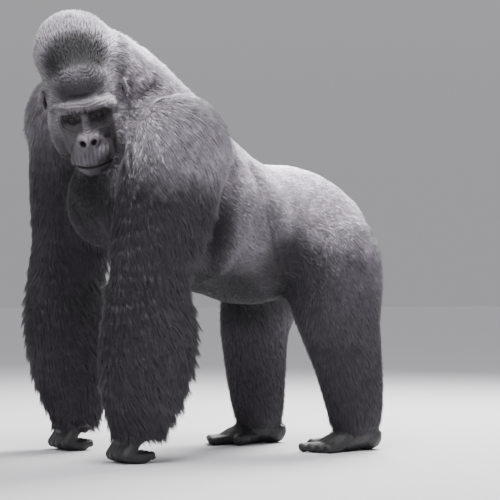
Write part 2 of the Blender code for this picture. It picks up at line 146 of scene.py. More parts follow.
def new_object(name, mesh):
    obj = bpy.data.objects.new(name, mesh)
    bpy.context.scene.collection.objects.link(obj)
    return obj


def evaluated(obj):
    """The object's mesh with its modifiers applied; the object is removed."""
    bpy.context.view_layer.update()
    mesh = bpy.data.meshes.new_from_object(obj.evaluated_get(bpy.context.evaluated_depsgraph_get()))
    bpy.data.objects.remove(obj)
    return mesh


# Clay forms

def add_form(clay, form, place):
    mesh = bpy.data.meshes.new("form")
    form.to_mesh(mesh)
    form.free()
    mesh.transform(place)
    clay.from_mesh(mesh)
    bpy.data.meshes.remove(mesh)


def ball(clay, centre, radii, place, lean=0.0, splay=0.0):
    """Adds an ellipsoid: lean turns it about x and splay about y, in degrees."""
    form = bmesh.new()
    bmesh.ops.create_uvsphere(form, u_segments=32, v_segments=20, radius=1.0)
    turn = Matrix.Rotation(math.radians(splay), 4, "Y") @ Matrix.Rotation(math.radians(lean), 4, "X")
    add_form(clay, form, place @ Matrix.Translation(centre) @ turn @ Matrix.Diagonal((*radii, 1.0)))


def pair(clay, centre, radii, place, splay=0.0):
    """Adds an ellipsoid on both sides."""
    x, y, z = centre
    for side in (1, -1):
        ball(clay, (side * x, y, z), radii, place, splay=side * splay)


def rod(clay, start, end, radii, place):
    """Adds a round-ended rod that tapers from one radius to the other."""
    start, end = Vector(start), Vector(end)
    form = bmesh.new()
    along = end - start
    turn = along.to_track_quat("Z", "Y").to_matrix().to_4x4()
    bmesh.ops.create_cone(
        form,
        cap_ends=True,
        segments=24,
        radius1=radii[0],
        radius2=radii[1],
        depth=along.length,
        matrix=Matrix.Translation((start + end) / 2) @ turn,
    )
    add_form(clay, form, place)
    for centre, radius in ((start, radii[0]), (end, radii[1])):
        ball(clay, centre, (radius,) * 3, place)


def face_forms(clay):
    """Brow, nose, cheeks, muzzle and lips."""
    ball(clay, (0, -0.060, 0.070), (0.088, 0.060, 0.064), HEAD, lean=12)  # forehead pad
    for side in (1, -1):
        rod(clay, (side * 0.008, -0.1240, 0.006), (side * 0.044, -0.1220, 0.010), (0.0245, 0.0260), HEAD)
        rod(clay, (side * 0.044, -0.1220, 0.010), (side * 0.079, -0.0960, 0.000), (0.0260, 0.0225), HEAD)
        # the brow's end and the fold beside the lip
        rod(clay, (side * 0.078, -0.086, -0.006), (side * 0.083, -0.060, -0.040), (0.018, 0.018), HEAD)
        rod(clay, (side * 0.030, -0.136, -0.092), (side * 0.056, -0.112, -0.158), (0.012, 0.017), HEAD)
    pair(clay, (0.056, -0.082, 0.031), (0.024, 0.019, 0.014), HEAD)  # between brow and forehead pad
    rod(clay, (0, -0.102, -0.022), (0, -0.134, -0.070), (0.0155, 0.0190), HEAD)  # bridge of the nose
    ball(clay, (0, -0.084, -0.082), (0.062, 0.056, 0.052), HEAD)  # upper jaw
    ball(clay, (0, -0.146, -0.088), (0.0215, 0.0270, 0.0200), HEAD)  # tip of the nose
    pair(clay, (0.0215, -0.1450, -0.0910), (0.0185, 0.0255, 0.0220), HEAD, splay=16)  # wings of the nose
    pair(clay, (0.066, -0.066, -0.060), (0.042, 0.038, 0.032), HEAD)  # cheekbones
    ball(clay, (0, -0.098, -0.138), (0.066, 0.072, 0.050), HEAD)  # upper lip
    ball(clay, (0, -0.088, -0.188), (0.053, 0.0640, 0.019), HEAD)  # lower lip
    ball(clay, (0, -0.070, -0.196), (0.043, 0.056, 0.026), HEAD)  # chin


def hand_forms(clay, place, inner):
    """A fist on its knuckles: four fingers folded back under the palm, and a short thumb."""
    rod(clay, (0, 0.000, 0.150), (0, -0.018, 0.090), (0.046, 0.034), place)
    spread = (HAND_WIDTH - 2 * FINGER_RADIUS) / 3
    for finger in range(4):
        x = (finger - 1.5) * spread
        reach = 0.046 * (1.0 - 0.10 * abs(finger - 1.5))
        root, knuckle = (x * 0.92, -0.028, 0.086), (x, -0.034 - reach, 0.024)
        joint, tip = (x, -0.026, 0.0165), (x * 0.94, 0.010, 0.024)
        thick = FINGER_RADIUS * 0.96
        rod(clay, root, knuckle, (thick * 1.05, thick), place)
        rod(clay, knuckle, joint, (thick * 0.98, thick * 0.88), place)
        rod(clay, joint, tip, (thick * 0.88, thick * 0.70), place)
    rod(clay, (inner * 0.046, 0, 0.130), (inner * 0.076, -0.020, 0.070), (0.019, 0.0135), place)


def toes(inner):
    """Start, end and the radii of each toe, the big toe last, in the foot's own frame."""
    ball_of_foot = -0.42 * FOOT_LENGTH
    toe_end = -0.70 * FOOT_LENGTH + TOE_RADIUS
    spread = (FOOT_WIDTH - 2 * TOE_RADIUS) / 3
    rows = []
    for toe in range(4):
        x = -inner * (toe - 1.5) * spread
        start, end = (x, ball_of_foot + 0.010, 0.018), (x * 1.12, toe_end + 0.010 * toe, 0.0150)
        rows.append((start, end, (TOE_RADIUS * 1.05, TOE_RADIUS * 0.95)))
    rows.append(((inner * 0.026, -0.045, 0.026), (inner * 0.088, -0.118, 0.0190), (0.023, 0.0180)))
    return rows


def foot_forms(clay, place, inner):
    """A flat foot with four toes in a row and the big toe standing off."""
    ball(clay, (0, 0.038, 0.042), (0.041, 0.051, 0.042), place)
    rod(clay, (0, 0.020, 0.052), (0, -0.050, 0.040), (0.038, 0.036), place)
    ball(clay, (0, -0.085, 0.026), (0.052, 0.060, 0.026), place)
    for start, end, radii in toes(inner):
        rod(clay, start, end, radii, place)


def ear_forms(clay, side):
    """A cupped oval with a rolled rim and a small flap in front of its opening."""
    lean = Matrix.Rotation(side * math.radians(20), 4, "Z") @ Matrix.Rotation(math.radians(-10), 4, "X")
    place = HEAD @ Matrix.Translation((side * EAR.x, EAR.y, EAR.z)) @ lean
    ball(clay, (0, 0, 0), (0.0045, 0.0175, 0.0255), place)
    previous = None
    for step in range(13):
        angle = math.radians(-75 + 275 * step / 12)
        point = (side * 0.0050, 0.0190 * math.cos(angle), 0.0280 * math.sin(angle))
        if previous:
            rod(clay, previous, point, (0.0040, 0.0040), place)
        previous = point
    angles = (-1.2, -0.4, 0.4, 1.2, 1.9)
    inner_fold = [(side * 0.0045, 0.0085 * math.cos(a), 0.0150 * math.sin(a)) for a in angles]
    for start, end in zip(inner_fold, inner_fold[1:]):
        rod(clay, start, end, (0.0028, 0.0028), place)
    ball(clay, (side * 0.003, -0.013, -0.005), (0.005, 0.005, 0.009), place)


def fused(clay, voxel, passes):
    """The clay as one closed mesh, smoothed."""
    mesh = bpy.data.meshes.new("clay")
    clay.to_mesh(mesh)
    clay.free()
    lump = new_object("clay", mesh)
    fuse = lump.modifiers.new("fuse", "REMESH")
    fuse.mode = "VOXEL"
    fuse.voxel_size = voxel
    soften = lump.modifiers.new("soften", "SMOOTH")
    soften.factor = 0.5
    soften.iterations = passes
    return evaluated(lump)


# Where the coat grows. Each row is a length of the body: its two ends and their radii, the way its hair
# lies, then the hair's length, lift off the skin in radians, width, tufts to the square metre, and piece.
Row = namedtuple("Row", "start end radius end_radius way length lift width density piece")


def on_head(x, y, z):
    return tuple(HEAD @ Vector((x, y, z)))


def head_way(x, y, z):
    return tuple(HEAD.to_3x3() @ Vector((x, y, z)))


def coat_rows():
    up_crest, down_nape, over_pad = head_way(0, 1.0, 1.2), head_way(0, 1.0, -1.0), head_way(0, 0.3, 1.0)
    under_chin = head_way(0, 0.8, -1.0)
    rows = [
        (on_head(0, 0.03, 0.13), on_head(0, 0.05, 0.15), 0.115, 0.118, up_crest,
         0.019, 0.30, 0.0030, 95000, "head"),
        (on_head(0, 0.13, 0.13), on_head(0, 0.15, 0.06), 0.110, 0.120, down_nape,
         0.026, 0.30, 0.0034, 80000, "head"),
        (on_head(0, -0.055, 0.09), on_head(0, -0.05, 0.06), 0.062, 0.066, over_pad,
         0.010, 0.18, 0.0019, 130000, "face"),
        (on_head(0, -0.09, -0.19), on_head(0, -0.02, -0.17), 0.05, 0.08, under_chin,
         0.013, 0.25, 0.0024, 80000, "face"),
        ((0.07, -0.404, 1.18), (0.00, -0.164, 1.02), 0.135, 0.150, (0, 0.75, -0.65),
         0.030, 0.26, 0.0036, 78000, "nape"),
        ((0.04, -0.364, 1.01), (0.00, -0.304, 0.92), 0.150, 0.190, (0, 0.25, -1.0),
         0.026, 0.22, 0.0038, 60000, "chest"),
        ((0.00, -0.284, 0.88), (0.00, -0.024, 0.78), 0.235, 0.245, (0, 0.62, -0.75),
         0.022, 0.18, 0.0034, 82000, "chest"),
        ((0.00, -0.104, 0.95), (0.00, 0.046, 0.86), 0.160, 0.130, (0, 0.95, -0.35),
         0.022, 0.20, 0.0034, 86000, "back"),
        ((0.00, 0.026, 0.76), (0.00, 0.256, 0.74), 0.235, 0.210, (0, 0.80, -0.50),
         0.020, 0.18, 0.0032, 88000, "back"),
        ((0.00, 0.096, 0.62), (0.00, 0.216, 0.62), 0.150, 0.150, (0, 0.85, -0.20),
         0.018, 0.16, 0.0036, 55000, "belly"),
        ((0.00, 0.336, 0.72), (0.00, 0.456, 0.69), 0.190, 0.160, (0, 0.70, -0.75),
         0.022, 0.20, 0.0033, 86000, "rump"),
    ]
    for name, side, lift, ahead in (("left", 1, 0.0, 0.0), ("right", -1, 0.12, 0.10)):
        cheek = on_head(side * 0.055, 0.0, -0.02), on_head(side * 0.055, 0.0, -0.10)
        back = head_way(side * 0.25, 1.0, -0.55)
        rows.append((*cheek, 0.085, 0.080, back, 0.017, 0.24, 0.0028, 95000, "head"))
        inner = (side * 0.16, -0.254 - ahead / 2, 1.02 + lift / 2)
        outer = (side * 0.26, -0.229 - ahead, 0.95 + lift)
        down = (side * 0.50, 0.38, -0.78)
        rows.append((inner, outer, 0.115, 0.150, down, 0.042, 0.22, 0.0031, 95000, f"shoulder_{name}"))
    limbs = {
        "left": (
            ((0.290, -0.269, 0.84), (0.302, -0.349, 0.55), (0.284, -0.341, 0.32), (0.256, -0.349, 0.10)),
            ((0.150, 0.406, 0.62), (0.197, 0.401, 0.40), (0.208, 0.428, 0.23), (0.212, 0.454, 0.08)),
        ),
        "right": (
            ((-0.298, -0.319, 0.92), (-0.303, -0.339, 0.55), (-0.298, -0.331, 0.32), (-0.268, -0.309, 0.10)),
            ((-0.148, 0.356, 0.62), (-0.186, 0.306, 0.40), (-0.196, 0.316, 0.23), (-0.198, 0.332, 0.08)),
        ),
    }
    arm_hair = (
        (0.145, 0.118, (0.12, 0.28, -1.0), 0.044, 0.24, 0.0031, 92000, "upper_arm"),
        (0.118, 0.132, (0.18, 0.40, -1.0), 0.050, 0.28, 0.0032, 92000, "forearm"),
        (0.132, 0.078, (0.10, 0.30, -1.0), 0.044, 0.28, 0.0031, 96000, "forearm"),
    )
    leg_hair = (
        (0.155, 0.128, (0.05, 0.45, -1.0), 0.026, 0.20, 0.0030, 84000, "leg"),
        (0.128, 0.100, (0.05, 0.35, -1.0), 0.032, 0.24, 0.0031, 80000, "leg"),
        (0.100, 0.072, (0.00, 0.30, -1.0), 0.030, 0.26, 0.0030, 84000, "leg"),
    )
    for name, side in SIDES:
        for points, hair in zip(limbs[name], (arm_hair, leg_hair)):
            for start, end, (radius, end_radius, way, *coat, piece) in zip(points, points[1:], hair):
                way = (side * way[0], way[1], way[2])
                rows.append((start, end, radius, end_radius, way, *coat, f"{piece}_{name}"))
    return [Row(*row) for row in rows]


ROWS = coat_rows()
ROW_PIECES = np.array([row.piece for row in ROWS])
ROW_BLEND = 0.018  # how far two neighbouring rows mix
DEPTH_SHARE = 0.24  # how deep the skin lies under the tips, against the hair's length


def coat_at(points):
    """The lie, length, lift, width and density of the coat at points near the skin, and their rows."""
    reach = np.empty((len(points), len(ROWS)))
    for k, row in enumerate(ROWS):
        start, end = np.array(row.start), np.array(row.end)
        axis = end - start
        t = np.clip((points - start) @ axis / (axis @ axis), 0.0, 1.0)
        centre = start + t[:, None] * axis
        radius = row.radius + (row.end_radius - row.radius) * t
        reach[:, k] = np.linalg.norm(points - centre, axis=1) - radius
    nearest = reach.argmin(axis=1)
    share = np.exp(-(reach - reach.min(axis=1, keepdims=True)) / ROW_BLEND)
    share /= share.sum(axis=1, keepdims=True)
    lie = share @ np.array([np.array(row.way) / np.linalg.norm(row.way) for row in ROWS])
    columns = ("length", "lift", "width", "density")
    return lie, *(share @ np.array([getattr(row, name) for row in ROWS]) for name in columns), nearest


def bare_face(local):
    """1 on the naked face, in the head's frame."""
    x, y, z = local.T
    half = 0.084 - 0.13 * np.clip(-z - 0.06, 0.0, 0.2)
    outline = np.cbrt(np.abs(x / half) ** 3 + np.abs((z + 0.092) / 0.116) ** 3)
    return (1 - ramp(0.93, 1.07, outline)) * (1 - ramp(-0.055, -0.030, y))


def near_face(local):
    """1 beside the naked face, falling to 0 about 50 mm away."""
    x, y, z = local.T
    away = np.sqrt((x / 0.084) ** 2 + ((z + 0.080) / 0.115) ** 2)
    return (1 - ramp(1.0, 1.45, away)) * (1 - ramp(-0.040, 0.010, y)) * ramp(-0.160, -0.120, y)


def bare_ears(local):
    """1 on the ears, in the head's frame."""
    size = np.array((0.020, 0.026, 0.035))
    away = np.linalg.norm((np.abs(local[:, :1]) * (1, 0, 0) + local * (0, 1, 1) - EAR) / size, axis=1)
    return 1 - ramp(0.80, 1.15, away)


def bare_skin(points):
    """1 where no coat grows: the face, the hands below the wrist and the feet below the ankle."""
    _, y, z = points.T
    low = np.where(y < 0, 1 - ramp(0.070, 0.100, z), 1 - ramp(0.050, 0.078, z))
    local = into(HEAD, points)
    return np.maximum(np.maximum(bare_face(local), bare_ears(local)), low)


# Folds of hide and edges of muscle on the left side; the right has the same. Each is a path on the skin,
# the fold's half width and its height, which is negative for a groove.
FOLDS = (
    (((0.255, -0.021, 0.900), (0.264, -0.060, 0.777), (0.246, -0.086, 0.700), (0.204, -0.091, 0.600)),
     0.030, -0.036),
    (((0.225, 0.020, 0.900), (0.250, 0.036, 0.810), (0.256, 0.018, 0.726), (0.231, -0.018, 0.646),
      (0.18, -0.03, 0.57)),
     0.024, 0.014),
    (((0.190, 0.090, 0.900), (0.225, 0.108, 0.829), (0.241, 0.120, 0.760), (0.235, 0.146, 0.688),
      (0.22, 0.17, 0.62)),
     0.020, -0.026),
    (((0.205, 0.150, 0.870), (0.235, 0.165, 0.780), (0.245, 0.195, 0.700)), 0.030, 0.008),
    (((0.245, 0.000, 0.660), (0.240, 0.080, 0.640), (0.228, 0.150, 0.625)), 0.022, 0.010),
    (((0.235, -0.060, 0.600), (0.232, 0.050, 0.580), (0.215, 0.150, 0.560)), 0.020, -0.014),
    (((0.235, 0.260, 0.720), (0.212, 0.215, 0.627), (0.198, 0.198, 0.563), (0.130, 0.225, 0.500)),
     0.034, -0.015),
    (((0.189, -0.340, 1.160), (0.188, -0.335, 1.106), (0.226, -0.354, 1.051), (0.256, -0.382, 0.993)),
     0.016, -0.018),
    (((0.160, -0.260, 1.150), (0.200, -0.334, 1.090), (0.224, -0.369, 1.026), (0.251, -0.392, 0.948),
      (0.306, -0.423, 0.875)), 0.020, -0.026),
    (((0.200, 0.250, 0.350), (0.283, 0.328, 0.326), (0.300, 0.400, 0.340)), 0.030, -0.008),
)


def fold_height(points):
    """How far the folds lift the skin at these points."""
    height = np.zeros(len(points))
    same_side = points.copy()
    same_side[:, 0] = np.abs(points[:, 0])
    for path, width, rise in FOLDS:
        nearest = np.full(len(points), 1e9)
        for start, end in zip(path, path[1:]):
            start, axis = np.array(start), np.array(end) - np.array(start)
            t = np.clip((same_side - start) @ axis / (axis @ axis), 0, 1)
            nearest = np.minimum(nearest, np.linalg.norm(same_side - start - t[:, None] * axis, axis=1))
        height += rise * np.exp(-((nearest / width) ** 2))
    return height


# The face in relief: each function gives how far the skin moves outwards, in metres, in the head's frame

def wave(value, period, shift=0.0):
    return np.sin(value * 2 * math.pi / period + shift)


def nose_relief(x, y, z):
    side = np.abs(x)
    front = 1 - ramp(-0.138, -0.122, y)
    across, up = side - 0.0172, z + 0.0960
    along = across * 0.55 + up * 0.83  # the nostril runs from its upper outer end down to the middle
    aslant = across * 0.83 - up * 0.55
    hole = np.sqrt((along / 0.0130) ** 2 + (aslant / 0.0092) ** 2)
    nostril = -0.0170 * (1 - ramp(0.55, 1.05, hole))
    rim = 0.0034 * bump_at(hole, 1.55, 0.40) * ramp(-0.112, -0.098, z)
    middle = -0.0034 * bump_at(x, 0, 0.0034) * ramp(-0.100, -0.090, z) * (1 - ramp(-0.078, -0.066, z))
    wing_edge = 0.0400 - 0.25 * np.clip(-0.075 - z, 0, 1)
    wing = -0.0042 * bump_at(side, wing_edge, 0.0042)
    wing *= ramp(-0.125, -0.108, z) * (1 - ramp(-0.076, -0.064, z))
    wrinkles = wave(z - 0.25 * side, 0.0075, 1.3 * np.sin(x * 160))
    wrinkles *= 0.0014 * bump_at(z, -0.056, 0.018) * (1 - ramp(0.016, 0.028, side))
    return (nostril + rim + middle + wing + wrinkles) * front


def mouth_relief(x, z):
    side = np.abs(x)
    line = -0.1755 + 1.1 * x ** 2
    within = 1 - ramp(0.054, 0.066, side)
    slit = -0.0085 * bump_at(z, line, 0.0027)
    lips = 0.0022 * bump_at(z, line + 0.0080, 0.0050) + 0.0032 * bump_at(z, line - 0.0065, 0.0038)
    folds = wave(x, 0.0125, 0.9 * np.sin(z * 80 + 1.0)) + 0.4 * wave(x, 0.0052)
    creases = 0.0017 * folds * bump_at(z, -0.138, 0.020)
    fine = 0.0004 * wave(x, 0.0068, np.sin(z * 110)) * bump_at(z, line + 0.008, 0.008)
    chin = -0.0025 * bump_at(z, -0.198, 0.005)
    return (slit + lips + creases + fine + chin) * within


def eye_relief(x, z):
    side = np.abs(x)
    across, up = side - EYE.x, z - EYE.z
    distance = np.sqrt(across ** 2 + (up * 1.10) ** 2)
    below = 1 - ramp(-0.008, 0.006, up - 0.30 * (side - 0.034))
    drift = 0.0016 * np.sin(side * 190 + x * 31) + 0.0014 * np.sin(z * 170 + x * 55)
    rings = wave(distance + drift - 0.0195, 0.0074 + 0.05 * np.clip(distance - 0.02, 0, 0.05))
    strength = 0.55 + 0.45 * np.sin(side * 75 + z * 60 + x * 20)
    around = ramp(0.015, 0.021, distance) * (1 - ramp(0.036, 0.056, distance))
    wrinkles = 0.0020 * rings * strength * below * around
    bag = 0.0022 * bump_at(distance, 0.020, 0.006) * below
    hollow = -0.0060 * bump_at(side, 0.021, 0.008) * bump_at(z, -0.032, 0.011)
    socket = -0.0105 * bump_at(side, 0.048, 0.028) * bump_at(z, -0.0195, 0.0075)
    return wrinkles + bag + hollow + socket


def brow_relief(x, y, z):
    side = np.abs(x)
    front = 1 - ramp(-0.085, -0.065, y)
    ticks = wave(x, 0.0098, 1.1 * np.sin(z * 130))
    ticks *= 0.0015 * bump_at(z, -0.002, 0.012) * (1 - ramp(0.030, 0.050, side))
    along = wave(z - 0.10 * side + 0.0015 * np.sin(x * 90), 0.0090)
    along *= 0.0015 * bump_at(z, 0.020, 0.011) * (1 - ramp(0.060, 0.084, side))
    between = -0.0034 * bump_at(side, 0.007, 0.003) * bump_at(z, -0.006, 0.014)
    fold = -0.0060 * bump_at(z, 0.0335 - 0.9 * x ** 2, 0.0060) * (1 - ramp(0.064, 0.088, side))
    pad = 0.0023 * wave(z + 0.007 * np.sin(x * 42 + 0.6) + 0.0026 * np.sin(x * 150 + z * 90), 0.0100)
    pad *= (0.6 + 0.4 * np.sin(x * 70 + z * 50)) * bump_at(z, 0.106, 0.022) * (1 - ramp(0.052, 0.078, side))
    return (ticks + along + between + fold) * front + pad


def face_relief(local):
    x, y, z = local.T
    ahead = 1 - ramp(-0.045, -0.015, y)
    relief = nose_relief(x, y, z) + mouth_relief(x, z) + eye_relief(x, z) + brow_relief(x, y, z)
    return relief * ahead


# Materials

def node(tree, kind, inputs=None, **settings):
    """Adds a shader node: inputs are values, colours or sockets to link, settings its own properties."""
    made = tree.nodes.new(f"ShaderNode{kind}")
    for key, value in settings.items():
        setattr(made, key, value)
    for key, value in (inputs or {}).items():
        if isinstance(value, bpy.types.NodeSocket):
            tree.links.new(value, made.inputs[key])
        else:
            made.inputs[key].default_value = value
    return made


# How the nodes below are set: a range is carried over smoothly, and a mix is of colours
SMOOTH = {"interpolation_type": "SMOOTHSTEP"}  # inputs: value, from low, from high, to low, to high
COLOURS = {"data_type": "RGBA"}
A, B, MIXED = 6, 7, 2  # the colour inputs and output of a mix
BLACK = (0.0, 0.0, 0.0, 1.0)

# Marks on skin and coat alike: the middle and radii of each, its colour, and how soft its edge is. Some are
# the coat's own colours, and others are painted light and painted shade, as marked below
MARKS = (
    ((0.00, 0.14, 0.80), (0.36, 0.42, 0.34), "grey_coat", 0.55),  # flanks and hips
    ((0.00, 0.40, 0.56), (0.34, 0.27, 0.26), "dark_grey_coat", 1.00),  # thighs
    # painted light: the nape's black hair made silver where the light falls on it
    ((0.05, -0.33, 1.20), (0.26, 0.30, 0.24), "silver_coat", 0.45),  # nape
    # painted shade: the chest under the chin made darker than the black coat
    ((0.00, -0.42, 0.90), (0.17, 0.16, 0.20), "crest_coat", 0.60),  # chest
    # painted light: the black shoulders made pale grey on the left and grey on the right where the light
    # falls on them
    ((0.27, -0.20, 1.02), (0.22, 0.27, 0.23), "pale_grey_coat", 0.80),  # left shoulder
    ((-0.27, -0.26, 1.13), (0.22, 0.28, 0.22), "grey_coat", 0.80),  # right shoulder
    ((0.00, 0.10, 0.99), (0.30, 0.38, 0.23), "silver_coat", 0.75),  # saddle
    # painted light: the black backs of the thighs made grey where the light from behind falls on them
    ((0.00, 0.50, 0.70), (0.31, 0.24, 0.26), "grey_coat", 1.00),  # back of the thighs
    ((0.00, 0.43, 0.86), (0.31, 0.31, 0.26), "silver_coat", 1.00),  # rump
    # painted shade: the underside of the belly made darker than the black coat
    ((0.00, -0.02, 0.48), (0.33, 0.38, 0.130), "crest_coat", 0.60),  # underside of the belly
    # painted shade in the hollows behind the arms
    ((0.24, -0.10, 0.67), (0.08, 0.08, 0.15), "black_coat", 0.90),  # hollow behind the left arm
    ((-0.24, -0.10, 0.67), (0.08, 0.08, 0.15), "black_coat", 0.90),  # hollow behind the right arm
    # painted shade in the groins
    ((0.22, 0.21, 0.56), (0.10, 0.12, 0.13), "black_coat", 0.80),  # left groin
    ((-0.22, 0.19, 0.56), (0.10, 0.12, 0.13), "black_coat", 0.80),  # right groin
)
# Marks in the head's own frame, the left side standing for both
HEAD_MARKS = (
    ((0.0, 0.02, 0.06), (0.15, 0.17, 0.24), "grey_coat", 0.30),  # the whole head
    # painted highlight on the top of the crest
    ((0.0, 0.08, 0.20), (0.20, 0.16, 0.12), "lit_crest_top", 0.60),
    # the front of the crest: dark hair, darkened further as painted shade
    ((0.0, -0.065, 0.142), (0.110, 0.090, 0.092), "dark_grey_coat", 0.60),  # front of the crest
    ((0.0, -0.068, 0.136), (0.102, 0.080, 0.076), "crest_coat", 0.60),  # its darkest part
    ((0.0, -0.105, 0.098), (0.074, 0.050, 0.027), "dark_grey_coat", 0.60),  # forehead pad's wrinkled top
    ((0.0, -0.100, 0.060), (0.086, 0.050, 0.034), "forehead_coat", 0.90),  # its lower half
)
# Marks of the naked skin, laid the same way; most are painted highlights and painted shade
FACE_MARKS = (
    # painted highlight: the brow band lit from above
    ((0.0, -0.130, 0.014), (0.088, 0.050, 0.017), "lit_brow_skin", 0.80),
    # painted shade in the eye socket under the brow
    ((0.046, -0.100, -0.027), (0.036, 0.040, 0.017), "dark_and_shaded_skin", 0.80),  # eye socket
    # painted highlight on the muzzle and the bridge of the nose
    ((0.0, -0.150, -0.118), (0.050, 0.070, 0.050), "lit_muzzle_skin", 0.60),
    ((0.0, -0.130, -0.050), (0.013, 0.040, 0.034), "lit_muzzle_skin", 0.90),  # bridge of the nose
    # painted highlight on the nose pad
    ((0.0, -0.155, -0.086), (0.034, 0.040, 0.022), "nose_highlight_and_ear_skin", 0.70),
    # painted shade in the nostril
    ((0.0172, -0.150, -0.097), (0.0092, 0.035, 0.0105), "dark_and_shaded_skin", 0.60),  # nostril
    (EAR, (0.030, 0.035, 0.045), "nose_highlight_and_ear_skin", 0.30),
    # painted shade in the ear's opening
    (EAR + Vector((0.001, -0.001, -0.002)), (0.014, 0.009, 0.014), "dark_and_shaded_skin", 0.50),  # its opening
)
# the skin low down, on the hands and feet: black skin darkened further as painted shade
HANDS_AND_FEET = ((0.0, 0.0, 0.0), (2.0, 2.0, 0.16), "dark_and_shaded_skin", 0.60)


def tone(name):
    """One of the colours set in the panel: the animal's own, and the painted light and shade laid on it."""
    return (*getattr(bpy.context.scene.gorilla_sizes, name), 1.0)


def painted(tree, colour, place, marks, edge):
    """The colour with soft-edged ellipsoids of other colours laid over it."""
    for centre, radii, name, soft in marks:
        moved, shrunk = [-c / r for c, r in zip(centre, radii)], [1 / r for r in radii]
        scaled = node(tree, "Mapping", {"Vector": place, "Location": moved, "Scale": shrunk}).outputs[0]
        away = node(tree, "VectorMath", {0: scaled}, operation="LENGTH").outputs["Value"]
        ragged = node(tree, "Math", {0: away, 1: edge}, operation="ADD").outputs[0]
        share = node(tree, "MapRange", {0: ragged, 1: 1.0 + soft / 2, 2: 1.0 - soft / 2}, **SMOOTH)
        shades = {0: share.outputs[0], A: colour, B: tone(name)}
        colour = node(tree, "Mix", shades, **COLOURS).outputs[MIXED]
    return colour


def marked_colour(tree):
    """The animal's markings with painted light and shade, as a colour from the place on the body; also the
    place in the head's frame.
    """
    place = node(tree, "TexCoord").outputs["Object"]
    cloud = {"Vector": place, "Scale": 14.0, "Detail": 5.0, "Roughness": 0.6}  # 70 mm patches
    cloud = node(tree, "TexNoise", cloud).outputs[0]
    edge = node(tree, "MapRange", {0: cloud, 1: 0.2, 2: 0.8, 3: -0.14, 4: 0.14}, **SMOOTH).outputs[0]
    inputs = {"Vector": place, "Location": HEAD.translation, "Rotation": HEAD.to_euler()}
    turned = node(tree, "Mapping", inputs, vector_type="TEXTURE").outputs[0]
    x, y, z = node(tree, "SeparateXYZ", {0: turned}).outputs
    side = node(tree, "Math", {0: x}, operation="ABSOLUTE").outputs[0]
    head_place = node(tree, "CombineXYZ", {0: side, 1: y, 2: z}).outputs[0]
    colour = painted(tree, tone("black_coat"), place, MARKS, edge)
    colour = painted(tree, colour, head_place, HEAD_MARKS, edge)
    return place, head_place, colour


def new_material(name):
    material = bpy.data.materials.new(name)
    material.use_nodes = True
    tree = material.node_tree
    return material, tree, tree.nodes["Principled BSDF"]


def coat_material():
    """Guard hair: coarse black to silver keratin, matt along its length, with a soft sheen at its edges."""
    material, tree, surface = new_material("guard_hair")
    place, _, colour = marked_colour(tree)
    tint_and_row_shading, fold, along = (
        node(tree, "Attribute", attribute_name=name).outputs["Fac"] for name in ("tint_and_row_shading", "fold", "along")
    )
    strands = node(tree, "UVMap", uv_map="Strand").outputs[0]
    stretched = node(tree, "Mapping", {"Vector": strands, "Scale": (7.0, 0.6, 1.0)}).outputs[0]
    grain = node(tree, "TexNoise", {"Vector": stretched, "Scale": 1.0, "Detail": 2.0}).outputs[0]
    clumps = {"Vector": place, "Scale": 42.0, "Detail": 3.0, "Roughness": 0.6}  # 24 mm locks
    clumps = node(tree, "TexNoise", clumps).outputs[0]
    # painted shade: each tuft darker towards its root, down among the other tufts
    root_shade = node(tree, "MapRange", {0: along, 1: 0.50, 2: 0.0, 3: 0.0, 4: 0.50}, **SMOOTH).outputs[0]
    colour = node(tree, "Mix", {0: root_shade, A: colour, B: BLACK}, **COLOURS).outputs[MIXED]
    for value, low, high, dark, light in (
        (fold, -0.026, 0.012, 0.36, 1.60),  # painted shade in the grooves, painted highlight on the ridges
        (tint_and_row_shading, 0.0, 1.0, 0.62, 1.42),  # tuft by tuft at random, with painted light and shade along the shaggy rows
        (clumps, 0.3, 0.7, 0.78, 1.22),
        (grain, 0.3, 0.7, 0.75, 1.15),  # hair by hair
    ):
        shade = node(tree, "MapRange", {0: value, 1: low, 2: high, 3: dark, 4: light}, **SMOOTH).outputs[0]
        colour = node(tree, "VectorMath", {0: colour, "Scale": shade}, operation="SCALE").outputs[0]
    bump = node(tree, "Bump", {"Strength": 0.30, "Distance": 0.0005, "Height": grain}).outputs[0]
    tree.links.new(colour, surface.inputs["Base Color"])
    tree.links.new(bump, surface.inputs["Normal"])
    surface.inputs["Roughness"].default_value = 0.55
    surface.inputs["Specular IOR Level"].default_value = 0.35
    surface.inputs["Sheen Weight"].default_value = 0.10
    surface.inputs["Sheen Roughness"].default_value = 0.40
    return material


